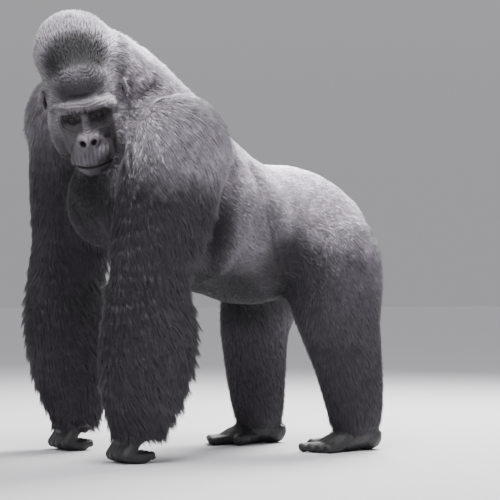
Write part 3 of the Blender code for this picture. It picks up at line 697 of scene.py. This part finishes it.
def skin_material():
    """Black hide: creased, leathery, a little shiny; under the coat it takes the coat's marks."""
    material, tree, surface = new_material("black_hide")
    place, head_place, marked = marked_colour(tree)
    bare = node(tree, "Attribute", attribute_name="bare").outputs["Fac"]
    mottle = {"Vector": place, "Scale": 38.0, "Detail": 6.0, "Roughness": 0.65}  # 26 mm blotches of dust
    mottle = node(tree, "TexNoise", mottle).outputs[0]
    # creases 1.6 mm and pores 2 mm apart: real ones are finer, and would not show
    creases = {"Vector": place, "Scale": 620.0, "Randomness": 1.0}
    creases = node(tree, "TexVoronoi", creases, feature="DISTANCE_TO_EDGE").outputs["Distance"]
    pores = node(tree, "TexNoise", {"Vector": place, "Scale": 520.0, "Detail": 3.0}).outputs[0]
    folds = {"Vector": place, "Scale": 85.0, "Detail": 4.0, "Roughness": 0.55, "Distortion": 1.6}  # 12 mm
    folds = node(tree, "TexNoise", folds).outputs[0]

    flat = node(tree, "Value").outputs[0]  # these marks have clean edges
    flat.default_value = 0.0
    naked = painted(tree, tone("face_skin"), place, (HANDS_AND_FEET,), flat)
    naked = painted(tree, naked, head_place, FACE_MARKS, flat)
    # darker blotches at random, and painted shade along the creases
    for value, low, high, most, dust_and_shade in (
        (mottle, 0.60, 0.30, 0.55, (0.014, 0.013, 0.015, 1.0)),
        (creases, 0.10, 0.0, 0.18, (0.012, 0.011, 0.013, 1.0)),
    ):
        share = node(tree, "MapRange", {0: value, 1: low, 2: high, 3: 0.0, 4: most}, **SMOOTH).outputs[0]
        naked = node(tree, "Mix", {0: share, A: naked, B: dust_and_shade}, **COLOURS).outputs[MIXED]
    under = node(tree, "Mix", {0: 0.45, A: marked, B: BLACK}, **COLOURS).outputs[MIXED]
    colour = node(tree, "Mix", {0: bare, A: under, B: naked}, **COLOURS).outputs[MIXED]
    rough = node(tree, "MapRange", {0: mottle, 1: 0.3, 2: 0.8, 3: 0.40, 4: 0.58}, **SMOOTH).outputs[0]

    deep = node(tree, "MapRange", {0: creases, 1: 0.0, 2: 0.14, 3: 0.0, 4: 0.6}, **SMOOTH).outputs[0]
    fine = node(tree, "Math", {0: pores, 1: 0.5, 2: deep}, operation="MULTIPLY_ADD").outputs[0]
    ridge = node(tree, "Math", {0: folds, 1: 0.07}, operation="PINGPONG").outputs[0]
    height = node(tree, "Math", {0: ridge, 1: 14.0, 2: fine}, operation="MULTIPLY_ADD").outputs[0]
    bump = node(tree, "Bump", {"Strength": 0.45, "Distance": 0.0006, "Height": height}).outputs[0]
    for name, socket in (("Base Color", colour), ("Roughness", rough), ("Normal", bump)):
        tree.links.new(socket, surface.inputs[name])
    return material


def eye_material(name, centre, gaze):
    """A wet eye: dark sclera, red-brown iris and black pupil under a clear cornea."""
    material, tree, surface = new_material(name)
    place = node(tree, "TexCoord").outputs["Object"]
    offset = node(tree, "VectorMath", {0: place, 1: centre}, operation="SUBTRACT").outputs[0]
    facing = node(tree, "VectorMath", {0: offset}, operation="NORMALIZE").outputs[0]
    along = node(tree, "VectorMath", {0: facing, 1: gaze}, operation="DOT_PRODUCT").outputs["Value"]
    streaks = node(tree, "TexNoise", {"Vector": place, "Scale": 900.0, "Detail": 3.0}).outputs[0]
    streaked = {0: streaks, A: tone("iris"), B: (0.010, 0.006, 0.004, 1.0)}
    iris = node(tree, "Mix", streaked, **COLOURS).outputs[MIXED]
    colour = (*linear("#171213"), 1.0)
    pupil = (0.002, 0.002, 0.002, 1.0)
    for low, high, inner in ((0.80, 0.83, iris), (0.957, 0.965, pupil)):
        share = node(tree, "MapRange", {0: along, 1: low, 2: high}, **SMOOTH).outputs[0]
        colour = node(tree, "Mix", {0: share, A: colour, B: inner}, **COLOURS).outputs[MIXED]
    tree.links.new(colour, surface.inputs["Base Color"])
    surface.inputs["Roughness"].default_value = 0.18
    surface.inputs["Coat Weight"].default_value = 0.3
    surface.inputs["Coat Roughness"].default_value = 0.05
    return material


def nail_material():
    """Horn: black keratin plates, smooth and a little ridged."""
    material, tree, surface = new_material("black_horn")
    place = node(tree, "TexCoord").outputs["Object"]
    # ridges 4 mm apart: real ones are finer, and would not show
    ridges = node(tree, "TexNoise", {"Vector": place, "Scale": 260.0, "Detail": 3.0}).outputs[0]
    share = node(tree, "MapRange", {0: ridges, 1: 0.3, 2: 0.7}, **SMOOTH).outputs[0]
    shades = {0: share, A: (*linear("#1d1b1d"), 1.0), B: (*linear("#3c3835"), 1.0)}
    colour = node(tree, "Mix", shades, **COLOURS).outputs[MIXED]
    tree.links.new(colour, surface.inputs["Base Color"])
    surface.inputs["Roughness"].default_value = 0.32
    return material


# Skin

SKIN_VOXEL = 0.004
EAR_VOXEL = 0.0014
SKIN_TRIANGLES = 168000  # without the ears and lids
ELBOWS = (  # flesh that fills the step between upper arm and forearm: two ends and their radii
    ((0.300, -0.330, 0.640), (0.300, -0.350, 0.470), (0.112, 0.118)),
    ((-0.302, -0.332, 0.660), (-0.301, -0.337, 0.460), (0.110, 0.120)),
)
SEAM_GROWTH = 0.0008  # each solid grows by this, so that the cuts between them close
SOCKET_RADIUS = EYE_RADIUS + 0.0006


def flesh_clay():
    """The solids of flesh, without the ears, grown into each other, with the finer face, hands and feet."""
    clay = bmesh.new()
    for name in FLESH:
        if name in EARS:
            continue
        solid = bmesh.new()
        solid.from_mesh(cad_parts[name].data)
        bmesh.ops.remove_doubles(solid, verts=solid.verts, dist=1e-5)
        solid.normal_update()
        for v in solid.verts:
            v.co += v.normal * SEAM_GROWTH
        add_form(clay, solid, Matrix.Identity(4))
    face_forms(clay)
    for start, end, radii in ELBOWS:
        rod(clay, start, end, radii, Matrix.Identity(4))
    for name, side in SIDES:
        hand_forms(clay, hand_place(name, side), inner=-side)
        foot_forms(clay, foot_place(name, side), inner=-side)
    return clay


def modified(mesh, chosen, kind, **settings):
    """The mesh changed by a modifier on its chosen vertices alone."""
    lump = new_object("clay", mesh)
    lump.vertex_groups.clear()
    group = lump.vertex_groups.new(name="chosen")
    group.add(np.flatnonzero(chosen).tolist(), 1.0, "REPLACE")
    modifier = lump.modifiers.new(kind.lower(), kind)
    modifier.vertex_group = "chosen"
    for key, value in settings.items():
        setattr(modifier, key, value)
    return evaluated(lump)


def thinned(mesh, keep, ratio):
    """The mesh with fewer triangles, all of them taken outside the kept vertices."""
    return modified(mesh, ~keep, "DECIMATE", ratio=ratio)


def smoothed(mesh, loose, passes):
    """The mesh smoothed on its loose vertices."""
    return modified(mesh, loose, "SMOOTH", factor=0.5, iterations=passes)


def fine_region(points):
    """True on the face, hands and feet."""
    x, y, z = into(HEAD, points).T
    face = (np.abs(x) < 0.105) & (y < -0.035) & (z > -0.235) & (z < 0.125)
    return face | (points[:, 2] < 0.11)


def eye_sockets(mesh):
    """Opens the sockets a little behind each eye, so that the eyeball stays clear of the skin."""
    points = points_of(mesh)
    for side in (1, -1):
        centre = np.array(HEAD @ Vector((side * EYE.x, EYE.y, EYE.z)))
        away = points - centre
        distance = np.linalg.norm(away, axis=1)
        near = distance < SOCKET_RADIUS
        points[near] = centre + away[near] / distance[near, None] * SOCKET_RADIUS
    mesh.vertices.foreach_set("co", points.ravel())


def subdivided(mesh, chosen, cuts):
    """The mesh with the faces of the chosen vertices cut finer."""
    form = bmesh.new()
    form.from_mesh(mesh)
    form.verts.ensure_lookup_table()
    edges = [e for e in form.edges if chosen[e.verts[0].index] and chosen[e.verts[1].index]]
    bmesh.ops.subdivide_edges(form, edges=edges, cuts=cuts, use_grid_fill=True, smooth=0.0)
    bmesh.ops.triangulate(form, faces=[f for f in form.faces if len(f.verts) > 4])
    form.to_mesh(mesh)
    form.free()
    return mesh


LIDS = ((3, 165), (-13, -150))  # degrees round each eye: the middle of the lid's edge, and its far side
LID_CORNER = -4  # where the two lids meet
LID_RADIUS = EYE_RADIUS + 0.0008
LID_THICKNESS = 0.0019


def lid_forms(clay):
    """Upper and lower lids: thin shells over each eyeball that leave an almond opening."""
    for side in (1, -1):
        slant = Matrix.Rotation(side * math.radians(8), 4, "Y")
        place = HEAD @ Matrix.Translation((side * EYE.x, EYE.y, EYE.z)) @ slant
        for edge, far in LIDS:
            shell = bmesh.new()
            bmesh.ops.create_grid(shell, x_segments=30, y_segments=14, size=1.0)
            for v in shell.verts:
                across = math.radians(84) * v.co.x
                near = LID_CORNER + (edge - LID_CORNER) * (1 - abs(v.co.x) ** 2.2)
                angle = math.radians(near + (far - near) * (v.co.y + 1) / 2)
                ring = LID_RADIUS * math.cos(across)
                v.co = (LID_RADIUS * math.sin(across), -ring * math.cos(angle), ring * math.sin(angle))
            bmesh.ops.recalc_face_normals(shell, faces=shell.faces)
            bmesh.ops.solidify(shell, geom=shell.faces, thickness=-LID_THICKNESS)
            bmesh.ops.recalc_face_normals(shell, faces=shell.faces)
            add_form(clay, shell, place)


def face_zone(points):
    """1 on the face and forehead, whose triangles are made small for the relief."""
    x, y, z = into(HEAD, points).T
    return (np.abs(x) < 0.092) & (y < -0.045) & (z > -0.222) & (z < 0.120)


def feature_zone(points):
    """1 round the eyes, nose and mouth, whose triangles are smaller still."""
    x, y, z = into(HEAD, points).T
    return (np.abs(x) < 0.064) & (y < -0.085) & (z > -0.198) & (z < 0.004)


def skin_mesh():
    mesh = fused(flesh_clay(), SKIN_VOXEL, 3)
    fine = fine_region(points_of(mesh))
    mesh = smoothed(mesh, ~fine | (into(HEAD, points_of(mesh))[:, 2] > 0.090), 70)
    points, normals = points_of(mesh), normals_of(mesh)
    depth = coat_at(points)[1] * DEPTH_SHARE * (1 - bare_skin(points))
    points -= normals * depth[:, None]
    mesh.vertices.foreach_set("co", points.ravel())
    mesh = smoothed(mesh, ~fine, 20)
    points, normals = points_of(mesh), normals_of(mesh)
    points += normals * (fold_height(points) * bpy.context.scene.gorilla_sizes.fold_depth * ~fine)[:, None]
    mesh.vertices.foreach_set("co", points.ravel())
    mesh = smoothed(mesh, ~fine, 3)
    wanted = 2 * int(fine.sum()) + 40000
    mesh = thinned(mesh, fine, wanted / (2 * len(mesh.polygons)))
    mesh = subdivided(mesh, face_zone(points_of(mesh)), 1)
    mesh = subdivided(mesh, feature_zone(points_of(mesh)), 1)
    mesh = smoothed(mesh, face_zone(points_of(mesh)), 3)
    eye_sockets(mesh)
    points, normals = points_of(mesh), normals_of(mesh)
    points += normals * face_relief(into(HEAD, points))[:, None]
    mesh.vertices.foreach_set("co", points.ravel())
    triangles = sum(len(face.vertices) - 2 for face in mesh.polygons)
    mesh = thinned(mesh, np.zeros(len(points), dtype=bool), SKIN_TRIANGLES / triangles)
    points = points_of(mesh)
    points[:, 2] = np.maximum(points[:, 2], 0.0)
    mesh.vertices.foreach_set("co", points.ravel())
    mesh.update()
    return mesh


def size_property(name, description, default, low, high, unit="NONE"):
    settings = {"name": name, "description": description, "unit": unit, "precision": 4}
    return FloatProperty(default=default, min=low, max=high, **settings)


def colour_property(name, hex_colour):
    settings = {"name": name, "description": f"Colour of the {name.lower()}", "subtype": "COLOR", "size": 3}
    return FloatVectorProperty(default=linear(hex_colour), min=0.0, max=1.0, **settings)


class GorillaSizes(bpy.types.PropertyGroup):
    coat_length: size_property("Coat length", "Length of the coat against life", 1.0, 0.5, 1.5)
    coat_density: size_property("Coat density", "Number of tufts against the full coat", 1.0, 0.05, 1.2)
    nail_length: size_property("Nail length", "Length of a nail", 0.018, 0.005, 0.04, "LENGTH")
    fold_depth: size_property("Fold depth", "Depth of the folds of hide against life", 1.0, 0.0, 1.5)
    seed: IntProperty(name="Seed", description="Seed of the random tufts", default=7, min=0)
    # Colours of coat and skin. Some are painted light and shade: the pale grey, grey and silver coat also
    # paint light on the shoulders, nape and backs of the thighs; the crest's front colour is painted shade on
    # the chest and belly; the crest's top, brow, muzzle and nose colours are painted highlights; the eye
    # sockets' colour is painted shade in the sockets, nostrils and ear openings and darkens the hands and
    # feet
    black_coat: colour_property("Black coat", "#363238")
    dark_grey_coat: colour_property("Dark grey coat", "#544f58")
    grey_coat: colour_property("Grey coat", "#7d7880")
    pale_grey_coat: colour_property("Pale grey coat", "#aea8b1")
    silver_coat: colour_property("Silver coat", "#dbd3de")
    lit_crest_top: colour_property("Top of the crest", "#857f88")
    crest_coat: colour_property("Crest's front", "#1f1d20")
    forehead_coat: colour_property("Forehead pad", "#322f34")
    face_skin: colour_property("Face", "#393539")
    dark_and_shaded_skin: colour_property("Eye sockets", "#171517")
    lit_brow_skin: colour_property("Brow", "#625c64")
    lit_muzzle_skin: colour_property("Muzzle", "#5a555d")
    nose_highlight_and_ear_skin: colour_property("Nose and ears", "#736d75")
    iris: colour_property("Iris", "#3d2618")


def keep_values(mesh, name, values):
    """Keeps a value on each vertex, for the materials."""
    mesh.attributes.new(name, "FLOAT", "POINT").data.foreach_set("value", values)


def finished(name, mesh, material):
    """A smooth piece made of the mesh, in its material."""
    mesh.name = name
    mesh.shade_smooth()
    mesh.materials.clear()
    mesh.materials.append(material)
    return new_object(name, mesh)


def mesh_from(form, name):
    mesh = bpy.data.meshes.new(name)
    form.to_mesh(mesh)
    form.free()
    return mesh


class GORILLA_OT_skin(bpy.types.Operator):
    """Make the skin that stands for the solids of flesh"""

    bl_idname = "gorilla.skin"
    bl_label = "Skin"

    def execute(self, context):
        mesh = skin_mesh()
        joined = bmesh.new()
        joined.from_mesh(mesh)
        bmesh.ops.triangulate(joined, faces=joined.faces)
        lid_forms(joined)
        for _, side in SIDES:
            ear = bmesh.new()
            ear_forms(ear, side)
            joined.from_mesh(fused(ear, EAR_VOXEL, 2))
        bmesh.ops.triangulate(joined, faces=joined.faces)
        joined.to_mesh(mesh)
        joined.free()
        keep_values(mesh, "bare", np.maximum(bare_skin(points_of(mesh)), 0.0))
        skin = finished("skin", mesh, skin_material())
        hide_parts(*FLESH)
        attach(skin, "root")
        return {"FINISHED"}


class GORILLA_OT_eyes(bpy.types.Operator):
    """Make the two eyes, each with a bulging cornea"""

    bl_idname = "gorilla.eyes"
    bl_label = "Eyes"

    def execute(self, context):
        gaze = (HEAD.to_3x3() @ Vector((0, -1, 0.10))).normalized()
        for name in EYES:
            centre = middle_of(name)
            form = bmesh.new()
            bmesh.ops.create_uvsphere(form, u_segments=48, v_segments=32, radius=EYE_RADIUS - 0.0002)
            turn = gaze.to_track_quat("Z", "Y").to_matrix().to_4x4()
            for v in form.verts:
                height = v.co.z / EYE_RADIUS
                v.co.z += 0.0009 * max(0.0, (height - 0.86) / 0.14) ** 0.7
            bmesh.ops.transform(form, matrix=Matrix.Translation(centre) @ turn, verts=form.verts)
            ball = name.replace("eye", "eyeball")
            eyeball = finished(ball, mesh_from(form, ball), eye_material(f"wet_{name}", centre, gaze))
            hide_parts(name)
            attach(eyeball, "root")
        return {"FINISHED"}


TOE_NAIL_TILT = Matrix.Rotation(math.radians(38), 4, "X")
FINGER_NAIL_TILT = Matrix.Rotation(math.radians(217), 4, "X")


class GORILLA_OT_nails(bpy.types.Operator):
    """Make the nails of the fingers and toes"""

    bl_idname = "gorilla.nails"
    bl_label = "Nails"

    def execute(self, context):
        clay = bmesh.new()
        for name, side in SIDES:
            place = foot_place(name, side)
            for start, end, radii in toes(-side):
                way = (Vector(end) - Vector(start)).normalized()
                size = radii[1] / TOE_RADIUS
                at = Vector(end) + way * 0.0090 * size + Vector((0, 0, 0.0098 * size))
                turn = Matrix.Rotation(math.atan2(way.x, -way.y), 4, "Z")
                self.plate(clay, place @ Matrix.Translation(at) @ turn @ TOE_NAIL_TILT, size)
            place = hand_place(name, side)
            spread = (HAND_WIDTH - 2 * FINGER_RADIUS) / 3
            for finger in range(4):
                at = ((finger - 1.5) * spread * 0.94, 0.0175, 0.0150)
                self.plate(clay, place @ Matrix.Translation(at) @ FINGER_NAIL_TILT, 0.9)
        nails = finished("nails", mesh_from(clay, "nails"), nail_material())
        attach(nails, "root")
        return {"FINISHED"}

    @staticmethod
    def plate(clay, place, size):
        """One nail: a domed plate, bevelled round its edge."""
        form = bmesh.new()
        bmesh.ops.create_uvsphere(form, u_segments=20, v_segments=12, radius=1.0)
        half = bpy.context.scene.gorilla_sizes.nail_length / 2 * size
        add_form(clay, form, place @ Matrix.Diagonal((0.87 * half, half, 0.33 * half, 1.0)))


# Coat

def tuft_template():
    """One tuft as a three-sided spike along z from 0 to 1: its places and faces."""
    form = bmesh.new()
    bmesh.ops.create_cone(form, cap_ends=True, segments=3, radius1=1.0, radius2=0.0, depth=1.0)
    bmesh.ops.translate(form, verts=form.verts, vec=(0, 0, 0.5))
    bmesh.ops.remove_doubles(form, verts=form.verts, dist=1e-6)
    bmesh.ops.triangulate(form, faces=form.faces)
    bmesh.ops.recalc_face_normals(form, faces=form.faces)
    form.verts.ensure_lookup_table()
    places = np.array([v.co[:] for v in form.verts])
    faces = np.array([[v.index for v in f.verts] for f in form.faces])
    form.free()
    return places, faces


def corners_of(mesh):
    """The three corners of each triangle."""
    flat = np.empty(len(mesh.polygons) * 3, dtype=np.int64)
    mesh.polygons.foreach_get("vertices", flat)
    return flat.reshape(-1, 3)


def rooted(mesh, count_scale, rng):
    """Roots over the skin, denser where the coat is: the place and normal of each."""
    points, normals, corners = points_of(mesh), normals_of(mesh), corners_of(mesh)
    a, b, c = (points[corners[:, k]] for k in range(3))
    areas = np.linalg.norm(np.cross(b - a, c - a), axis=1) / 2
    centres = (a + b + c) / 3
    density = coat_at(centres)[4] * (1 - bare_skin(centres)) * (1 + 0.8 * near_face(into(HEAD, centres)))
    expected = areas * density * count_scale
    counts = np.floor(expected + rng.random(len(expected))).astype(int)
    owner = np.repeat(np.arange(len(counts)), counts)
    u, v = rng.random(len(owner)), rng.random(len(owner))
    flip = u + v > 1
    u[flip], v[flip] = 1 - u[flip], 1 - v[flip]
    share = np.stack([1 - u - v, u, v], axis=1)[:, :, None]
    place = (points[corners[owner]] * share).sum(axis=1)
    normal = unit((normals[corners[owner]] * share).sum(axis=1))
    return place, normal


def search_tree(mesh):
    """A tree that finds the nearest skin, its triangles sorted, as Blender may order some anew each run."""
    corners = corners_of(mesh)
    first = corners.argmin(axis=1)[:, None]
    corners = np.take_along_axis(corners, (first + np.arange(3)) % 3, axis=1)
    corners = corners[np.lexsort(corners.T[::-1])]
    return BVHTree.FromPolygons(points_of(mesh).tolist(), corners.tolist(), all_triangles=True)


def noise_field(points, scale, octaves=1):
    """A smooth vector field of about unit size."""
    field = np.array([noise.noise_vector(Vector(p) * scale)[:] for p in points])
    if octaves > 1:
        field += 0.5 * np.array([noise.noise_vector(Vector(p) * scale * 2.1)[:] for p in points])
    return field


def gathered(place, normal, tips, pull, rng):
    """Tips drawn to the tip of a neighbour on the same side of a crease, so that they hang in locks."""
    chosen = rng.choice(len(place), max(1, len(place) // 9), replace=False)
    tree = KDTree(len(chosen))
    for i, k in enumerate(chosen):
        tree.insert(place[k], i)
    tree.balance()
    lead = chosen[[tree.find(p)[1] for p in place]]
    pull = pull * ramp(0.70, 0.95, (normal * normal[lead]).sum(axis=1))
    return tips + (tips[lead] - tips) * pull[:, None]


def kept_clear(tips, height, tree):
    """Tips raised off the skin where they would sink into the far side of a crease."""
    raised = tips.copy()
    for i, tip in enumerate(tips):
        at, normal, _, _ = tree.find_nearest(tip)
        short = height[i] - (Vector(tip) - at).dot(normal)
        if short > 0:
            raised[i] += np.array(normal) * short
    return raised


def unwrapped(place, piece):
    """Where each root lies on the piece's own unwrap: round its axis and along it, or round the head."""
    if piece in ("head", "face"):
        local = into(HEAD, place)
        way = unit(local - np.array((0, 0.03, 0.02)))
        around, along = np.arctan2(way[:, 0], -way[:, 1]), np.arcsin(way[:, 2]) / math.pi + 0.5
        return np.stack([around / (2 * math.pi) + 0.5, along], 1)
    low, high = place.min(axis=0), place.max(axis=0)
    middle = (low + high) / 2
    if piece in ("chest", "back", "belly", "rump", "nape"):
        around = np.arctan2(place[:, 0] - middle[0], place[:, 2] - 0.74)
        along = (place[:, 1] - low[1]) / (high[1] - low[1])
    else:
        around = np.arctan2(place[:, 0] - middle[0], place[:, 1] - middle[1])
        along = (place[:, 2] - low[2]) / (high[2] - low[2])
    return np.stack([around / (2 * math.pi) + 0.5, along], 1)


PATCH = 0.003  # size of each tuft's patch on the bake map
ROOT_DEPTH = 0.0015  # how far each tuft reaches under the skin
TUFT_FLATNESS = 0.40  # thickness against width
LOWEST = 0.001  # no tuft comes nearer to the floor
ROW_PERIOD = 0.040


def shaggy_rows(place):
    """-1 to 1 in wavy level rows, as the long hair of the forearms stands out."""
    drift = noise_field(place, 7.0)[:, 0]
    return wave(place[:, 2], ROW_PERIOD, 5.0 * drift)


def tuft_piece(name, place, normal, rng, material, length_scale, tree):
    """Makes a coat piece: one solid tuft at each root, all in one mesh."""
    lie, length, lift, width, _, nearest = coat_at(place)
    count = len(place)
    long = ramp(0.024, 0.050, length)  # 1 in long hair, 0 in short
    sway = noise_field(place, 8.0, 2)
    fine_sway = noise_field(place, 45.0)
    lie = lie + (0.22 + 0.25 * long)[:, None] * sway + (0.12 + 0.16 * long)[:, None] * fine_sway
    outwards = (lie * normal).sum(axis=1, keepdims=True)
    hanging = np.where(outwards > 0, 0.60 * long[:, None], 0.0)  # long hair under a bulge hangs free
    lie = unit(lie - (1 - hanging) * outwards * normal)
    rows = shaggy_rows(place) * ramp(0.040, 0.047, length) * (place[:, 2] < 0.80)
    length = length * length_scale * (0.75 + 0.5 * rng.random(count)) * (1 + 0.18 * rows)
    beside = near_face(into(HEAD, place)) * np.isin(ROW_PIECES[nearest], ("head", "face"))
    short = np.maximum(0.65 * bare_skin(place), 0.45 * beside)
    length *= 1 - short
    width = width * (0.7 + 0.6 * rng.random(count)) * (1 - 0.5 * short)
    lift = lift * (1 + 0.35 * rng.standard_normal(count)) * (1 - 0.5 * short) + 0.20 * rows
    lift = np.clip(lift, 0.05, 0.95)
    out = normal * np.sin(lift)[:, None]
    tips = place + length[:, None] * (lie * np.cos(lift)[:, None] + out * (1 - 0.5 * long)[:, None])
    tips = gathered(place, normal, tips, np.clip(0.10 + length * 9.0, 0.15, 0.70), rng)
    tips = kept_clear(tips, 0.12 * length, tree)
    side = unit(np.cross(lie, normal))
    template, faces = tuft_template()
    each = len(template)
    s = template[:, 2][None, :, None]
    root = place - normal * ROOT_DEPTH
    spine = (1 - s) * root[:, None] + s * tips[:, None]
    half = width[:, None, None] / 2
    across = template[:, 0][None, :, None] * half * side[:, None]
    up = template[:, 1][None, :, None] * half * TUFT_FLATNESS * normal[:, None]
    verts = (spine + across + up).reshape(-1, 3)
    verts[:, 2] = np.maximum(verts[:, 2], LOWEST)
    indices = (faces[None] + (np.arange(count) * each)[:, None, None]).reshape(-1)
    mesh = bpy.data.meshes.new(name)
    mesh.vertices.add(len(verts))
    mesh.vertices.foreach_set("co", verts.ravel())
    mesh.loops.add(len(indices))
    mesh.loops.foreach_set("vertex_index", indices)
    mesh.polygons.add(len(indices) // 3)
    mesh.polygons.foreach_set("loop_start", np.arange(0, len(indices), 3))
    mesh.update(calc_edges=True)
    # random per tuft, plus painted light and shade along the shaggy rows
    keep_values(mesh, "tint_and_row_shading", np.repeat(0.30 * rows + rng.random(count), each))
    # fold: drives the painted shade in the grooves and the painted highlight on the ridges of the coat
    keep_values(mesh, "fold", np.repeat(fold_height(place), each))
    keep_values(mesh, "along", np.tile(template[:, 2], count))
    flat = unwrapped(place, name.replace("coat_", "")) * (1 - 2 * PATCH) + PATCH
    patch = np.stack([template[:, 0] * 0.5, template[:, 2] - 0.5], 1) * PATCH
    bake = (flat[:, None] + patch[None]).reshape(-1, 2)
    start = np.repeat(rng.random(count) * 40, each)
    strand = np.stack([np.tile(template[:, 0] * 0.5, count) + start, np.tile(template[:, 2], count)], 1)
    for layer, values in (("OFBake", bake), ("Strand", strand)):
        mesh.uv_layers.new(name=layer).data.foreach_set("uv", values[indices].ravel())
    obj = finished(name, mesh, material)
    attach(obj, "root")


class GORILLA_OT_coat(bpy.types.Operator):
    """Make the coat: thin tufts that overlap and lie along the body"""

    bl_idname = "gorilla.coat"
    bl_label = "Coat"

    def execute(self, context):
        sizes = context.scene.gorilla_sizes
        rng = np.random.default_rng(sizes.seed)
        noise.seed_set(sizes.seed + 1)  # 0 would seed it from the clock
        skin = bpy.data.objects["skin"]
        place, normal = rooted(skin.data, sizes.coat_density, rng)
        pieces = ROW_PIECES[coat_at(place)[5]]
        material = coat_material()
        tree = search_tree(skin.data)
        for piece in sorted(set(pieces)):
            chosen = pieces == piece
            roots = place[chosen], normal[chosen]
            tuft_piece(f"coat_{piece}", *roots, rng, material, sizes.coat_length, tree)
        return {"FINISHED"}


# Stage

CAMERA_AZIMUTH = math.radians(60)
CAMERA_DISTANCE = 5.9715
CAMERA_ASIDE = 0.1561
CAMERA_HEIGHT = 0.50
CAMERA_TILT = math.radians(1.386)
LENS = 133.9
SENSOR = 36.0


def studio_world():
    """A soft dome of light, brighter overhead."""
    world = bpy.data.worlds.new("studio")
    world.use_nodes = True
    tree = world.node_tree
    way = node(tree, "TexCoord").outputs["Generated"]
    height = node(tree, "SeparateXYZ", {0: way}).outputs[2]
    share, light = (
        node(tree, "MapRange", {0: height, 1: 0.05, 2: 0.90, 3: low, 4: high}, **SMOOTH).outputs[0]
        for low, high in ((0.0, 1.0), (0.56, 1.10))
    )
    sky = {0: share, A: (*linear("#d6d4d8"), 1.0), B: (*linear("#ffffff"), 1.0)}
    colour = node(tree, "Mix", sky, **COLOURS).outputs[MIXED]
    for slot, socket in enumerate((colour, light)):
        tree.links.new(socket, tree.nodes["Background"].inputs[slot])
    return world


def area_light(name, at, aim, size, power):
    """Adds a square lamp that shines at the aim."""
    light = bpy.data.lights.new(name, "AREA")
    light.shape = "SQUARE"
    light.size = size
    light.energy = power
    obj = bpy.data.objects.new(name, light)
    bpy.context.scene.collection.objects.link(obj)
    obj.location = at
    obj.rotation_euler = (Vector(aim) - Vector(at)).to_track_quat("-Z", "Y").to_euler()


class GORILLA_OT_stage(bpy.types.Operator):
    """Make the floor, the lights and the camera"""

    bl_idname = "gorilla.stage"
    bl_label = "Stage"

    def execute(self, context):
        scene = context.scene
        back = Vector((math.sin(CAMERA_AZIMUTH), -math.cos(CAMERA_AZIMUTH), 0))
        right = Vector((math.cos(CAMERA_AZIMUTH), math.sin(CAMERA_AZIMUTH), 0))
        data = bpy.data.cameras.new("camera")
        data.lens = LENS
        data.sensor_width = SENSOR
        camera = bpy.data.objects.new("camera", data)
        scene.collection.objects.link(camera)
        camera.location = back * CAMERA_DISTANCE + right * CAMERA_ASIDE + Vector((0, 0, CAMERA_HEIGHT))
        forward = -back * math.cos(CAMERA_TILT) + Vector((0, 0, math.sin(CAMERA_TILT)))
        camera.rotation_euler = forward.to_track_quat("-Z", "Y").to_euler()
        scene.camera = camera

        form = bmesh.new()
        bmesh.ops.create_grid(form, x_segments=2, y_segments=2, size=60)
        mesh = mesh_from(form, "floor")
        material, _, surface = new_material("pale_floor")
        surface.inputs["Base Color"].default_value = (*linear("#b0aeb2"), 1.0)
        surface.inputs["Roughness"].default_value = 0.9
        mesh.materials.append(material)
        floor = new_object("floor", mesh)

        aim = (0, 0.05, 0.85)
        for name, towards, aside, height, size, power in (
            ("key", -2.6, 1.4, 3.6, 2.2, 880),
            ("top", 1.5, 0.3, 4.1, 1.8, 260),
            ("front", 4.2, -2.2, 2.6, 3.0, 70),
        ):
            area_light(name, back * towards + right * aside + Vector((0, 0, height)), aim, size, power)
        scene.world = studio_world()
        return {"FINISHED"}


class GORILLA_PT_panel(bpy.types.Panel):
    """Lists the steps that dress the gorilla"""

    bl_idname = "GORILLA_PT_panel"
    bl_label = "Gorilla"
    bl_space_type = "VIEW_3D"
    bl_region_type = "UI"
    bl_category = "Gorilla"

    def draw(self, context):
        sizes = context.scene.gorilla_sizes
        for name in ("coat_length", "coat_density", "seed"):
            self.layout.prop(sizes, name)
        for step in STEPS:
            self.layout.operator(step.bl_idname)


STEPS = (GORILLA_OT_stage, GORILLA_OT_skin, GORILLA_OT_eyes, GORILLA_OT_nails, GORILLA_OT_coat)
CLASSES = (GorillaSizes, *STEPS, GORILLA_PT_panel)


def register():
    for cls in CLASSES:
        bpy.utils.register_class(cls)
    bpy.types.Scene.gorilla_sizes = PointerProperty(type=GorillaSizes)


def unregister():
    del bpy.types.Scene.gorilla_sizes
    for cls in reversed(CLASSES):
        bpy.utils.unregister_class(cls)


def main():
    register()
    for step in STEPS:
        group, name = step.bl_idname.split(".")
        getattr(getattr(bpy.ops, group), name)()


if __name__ == "__main__":
    main()
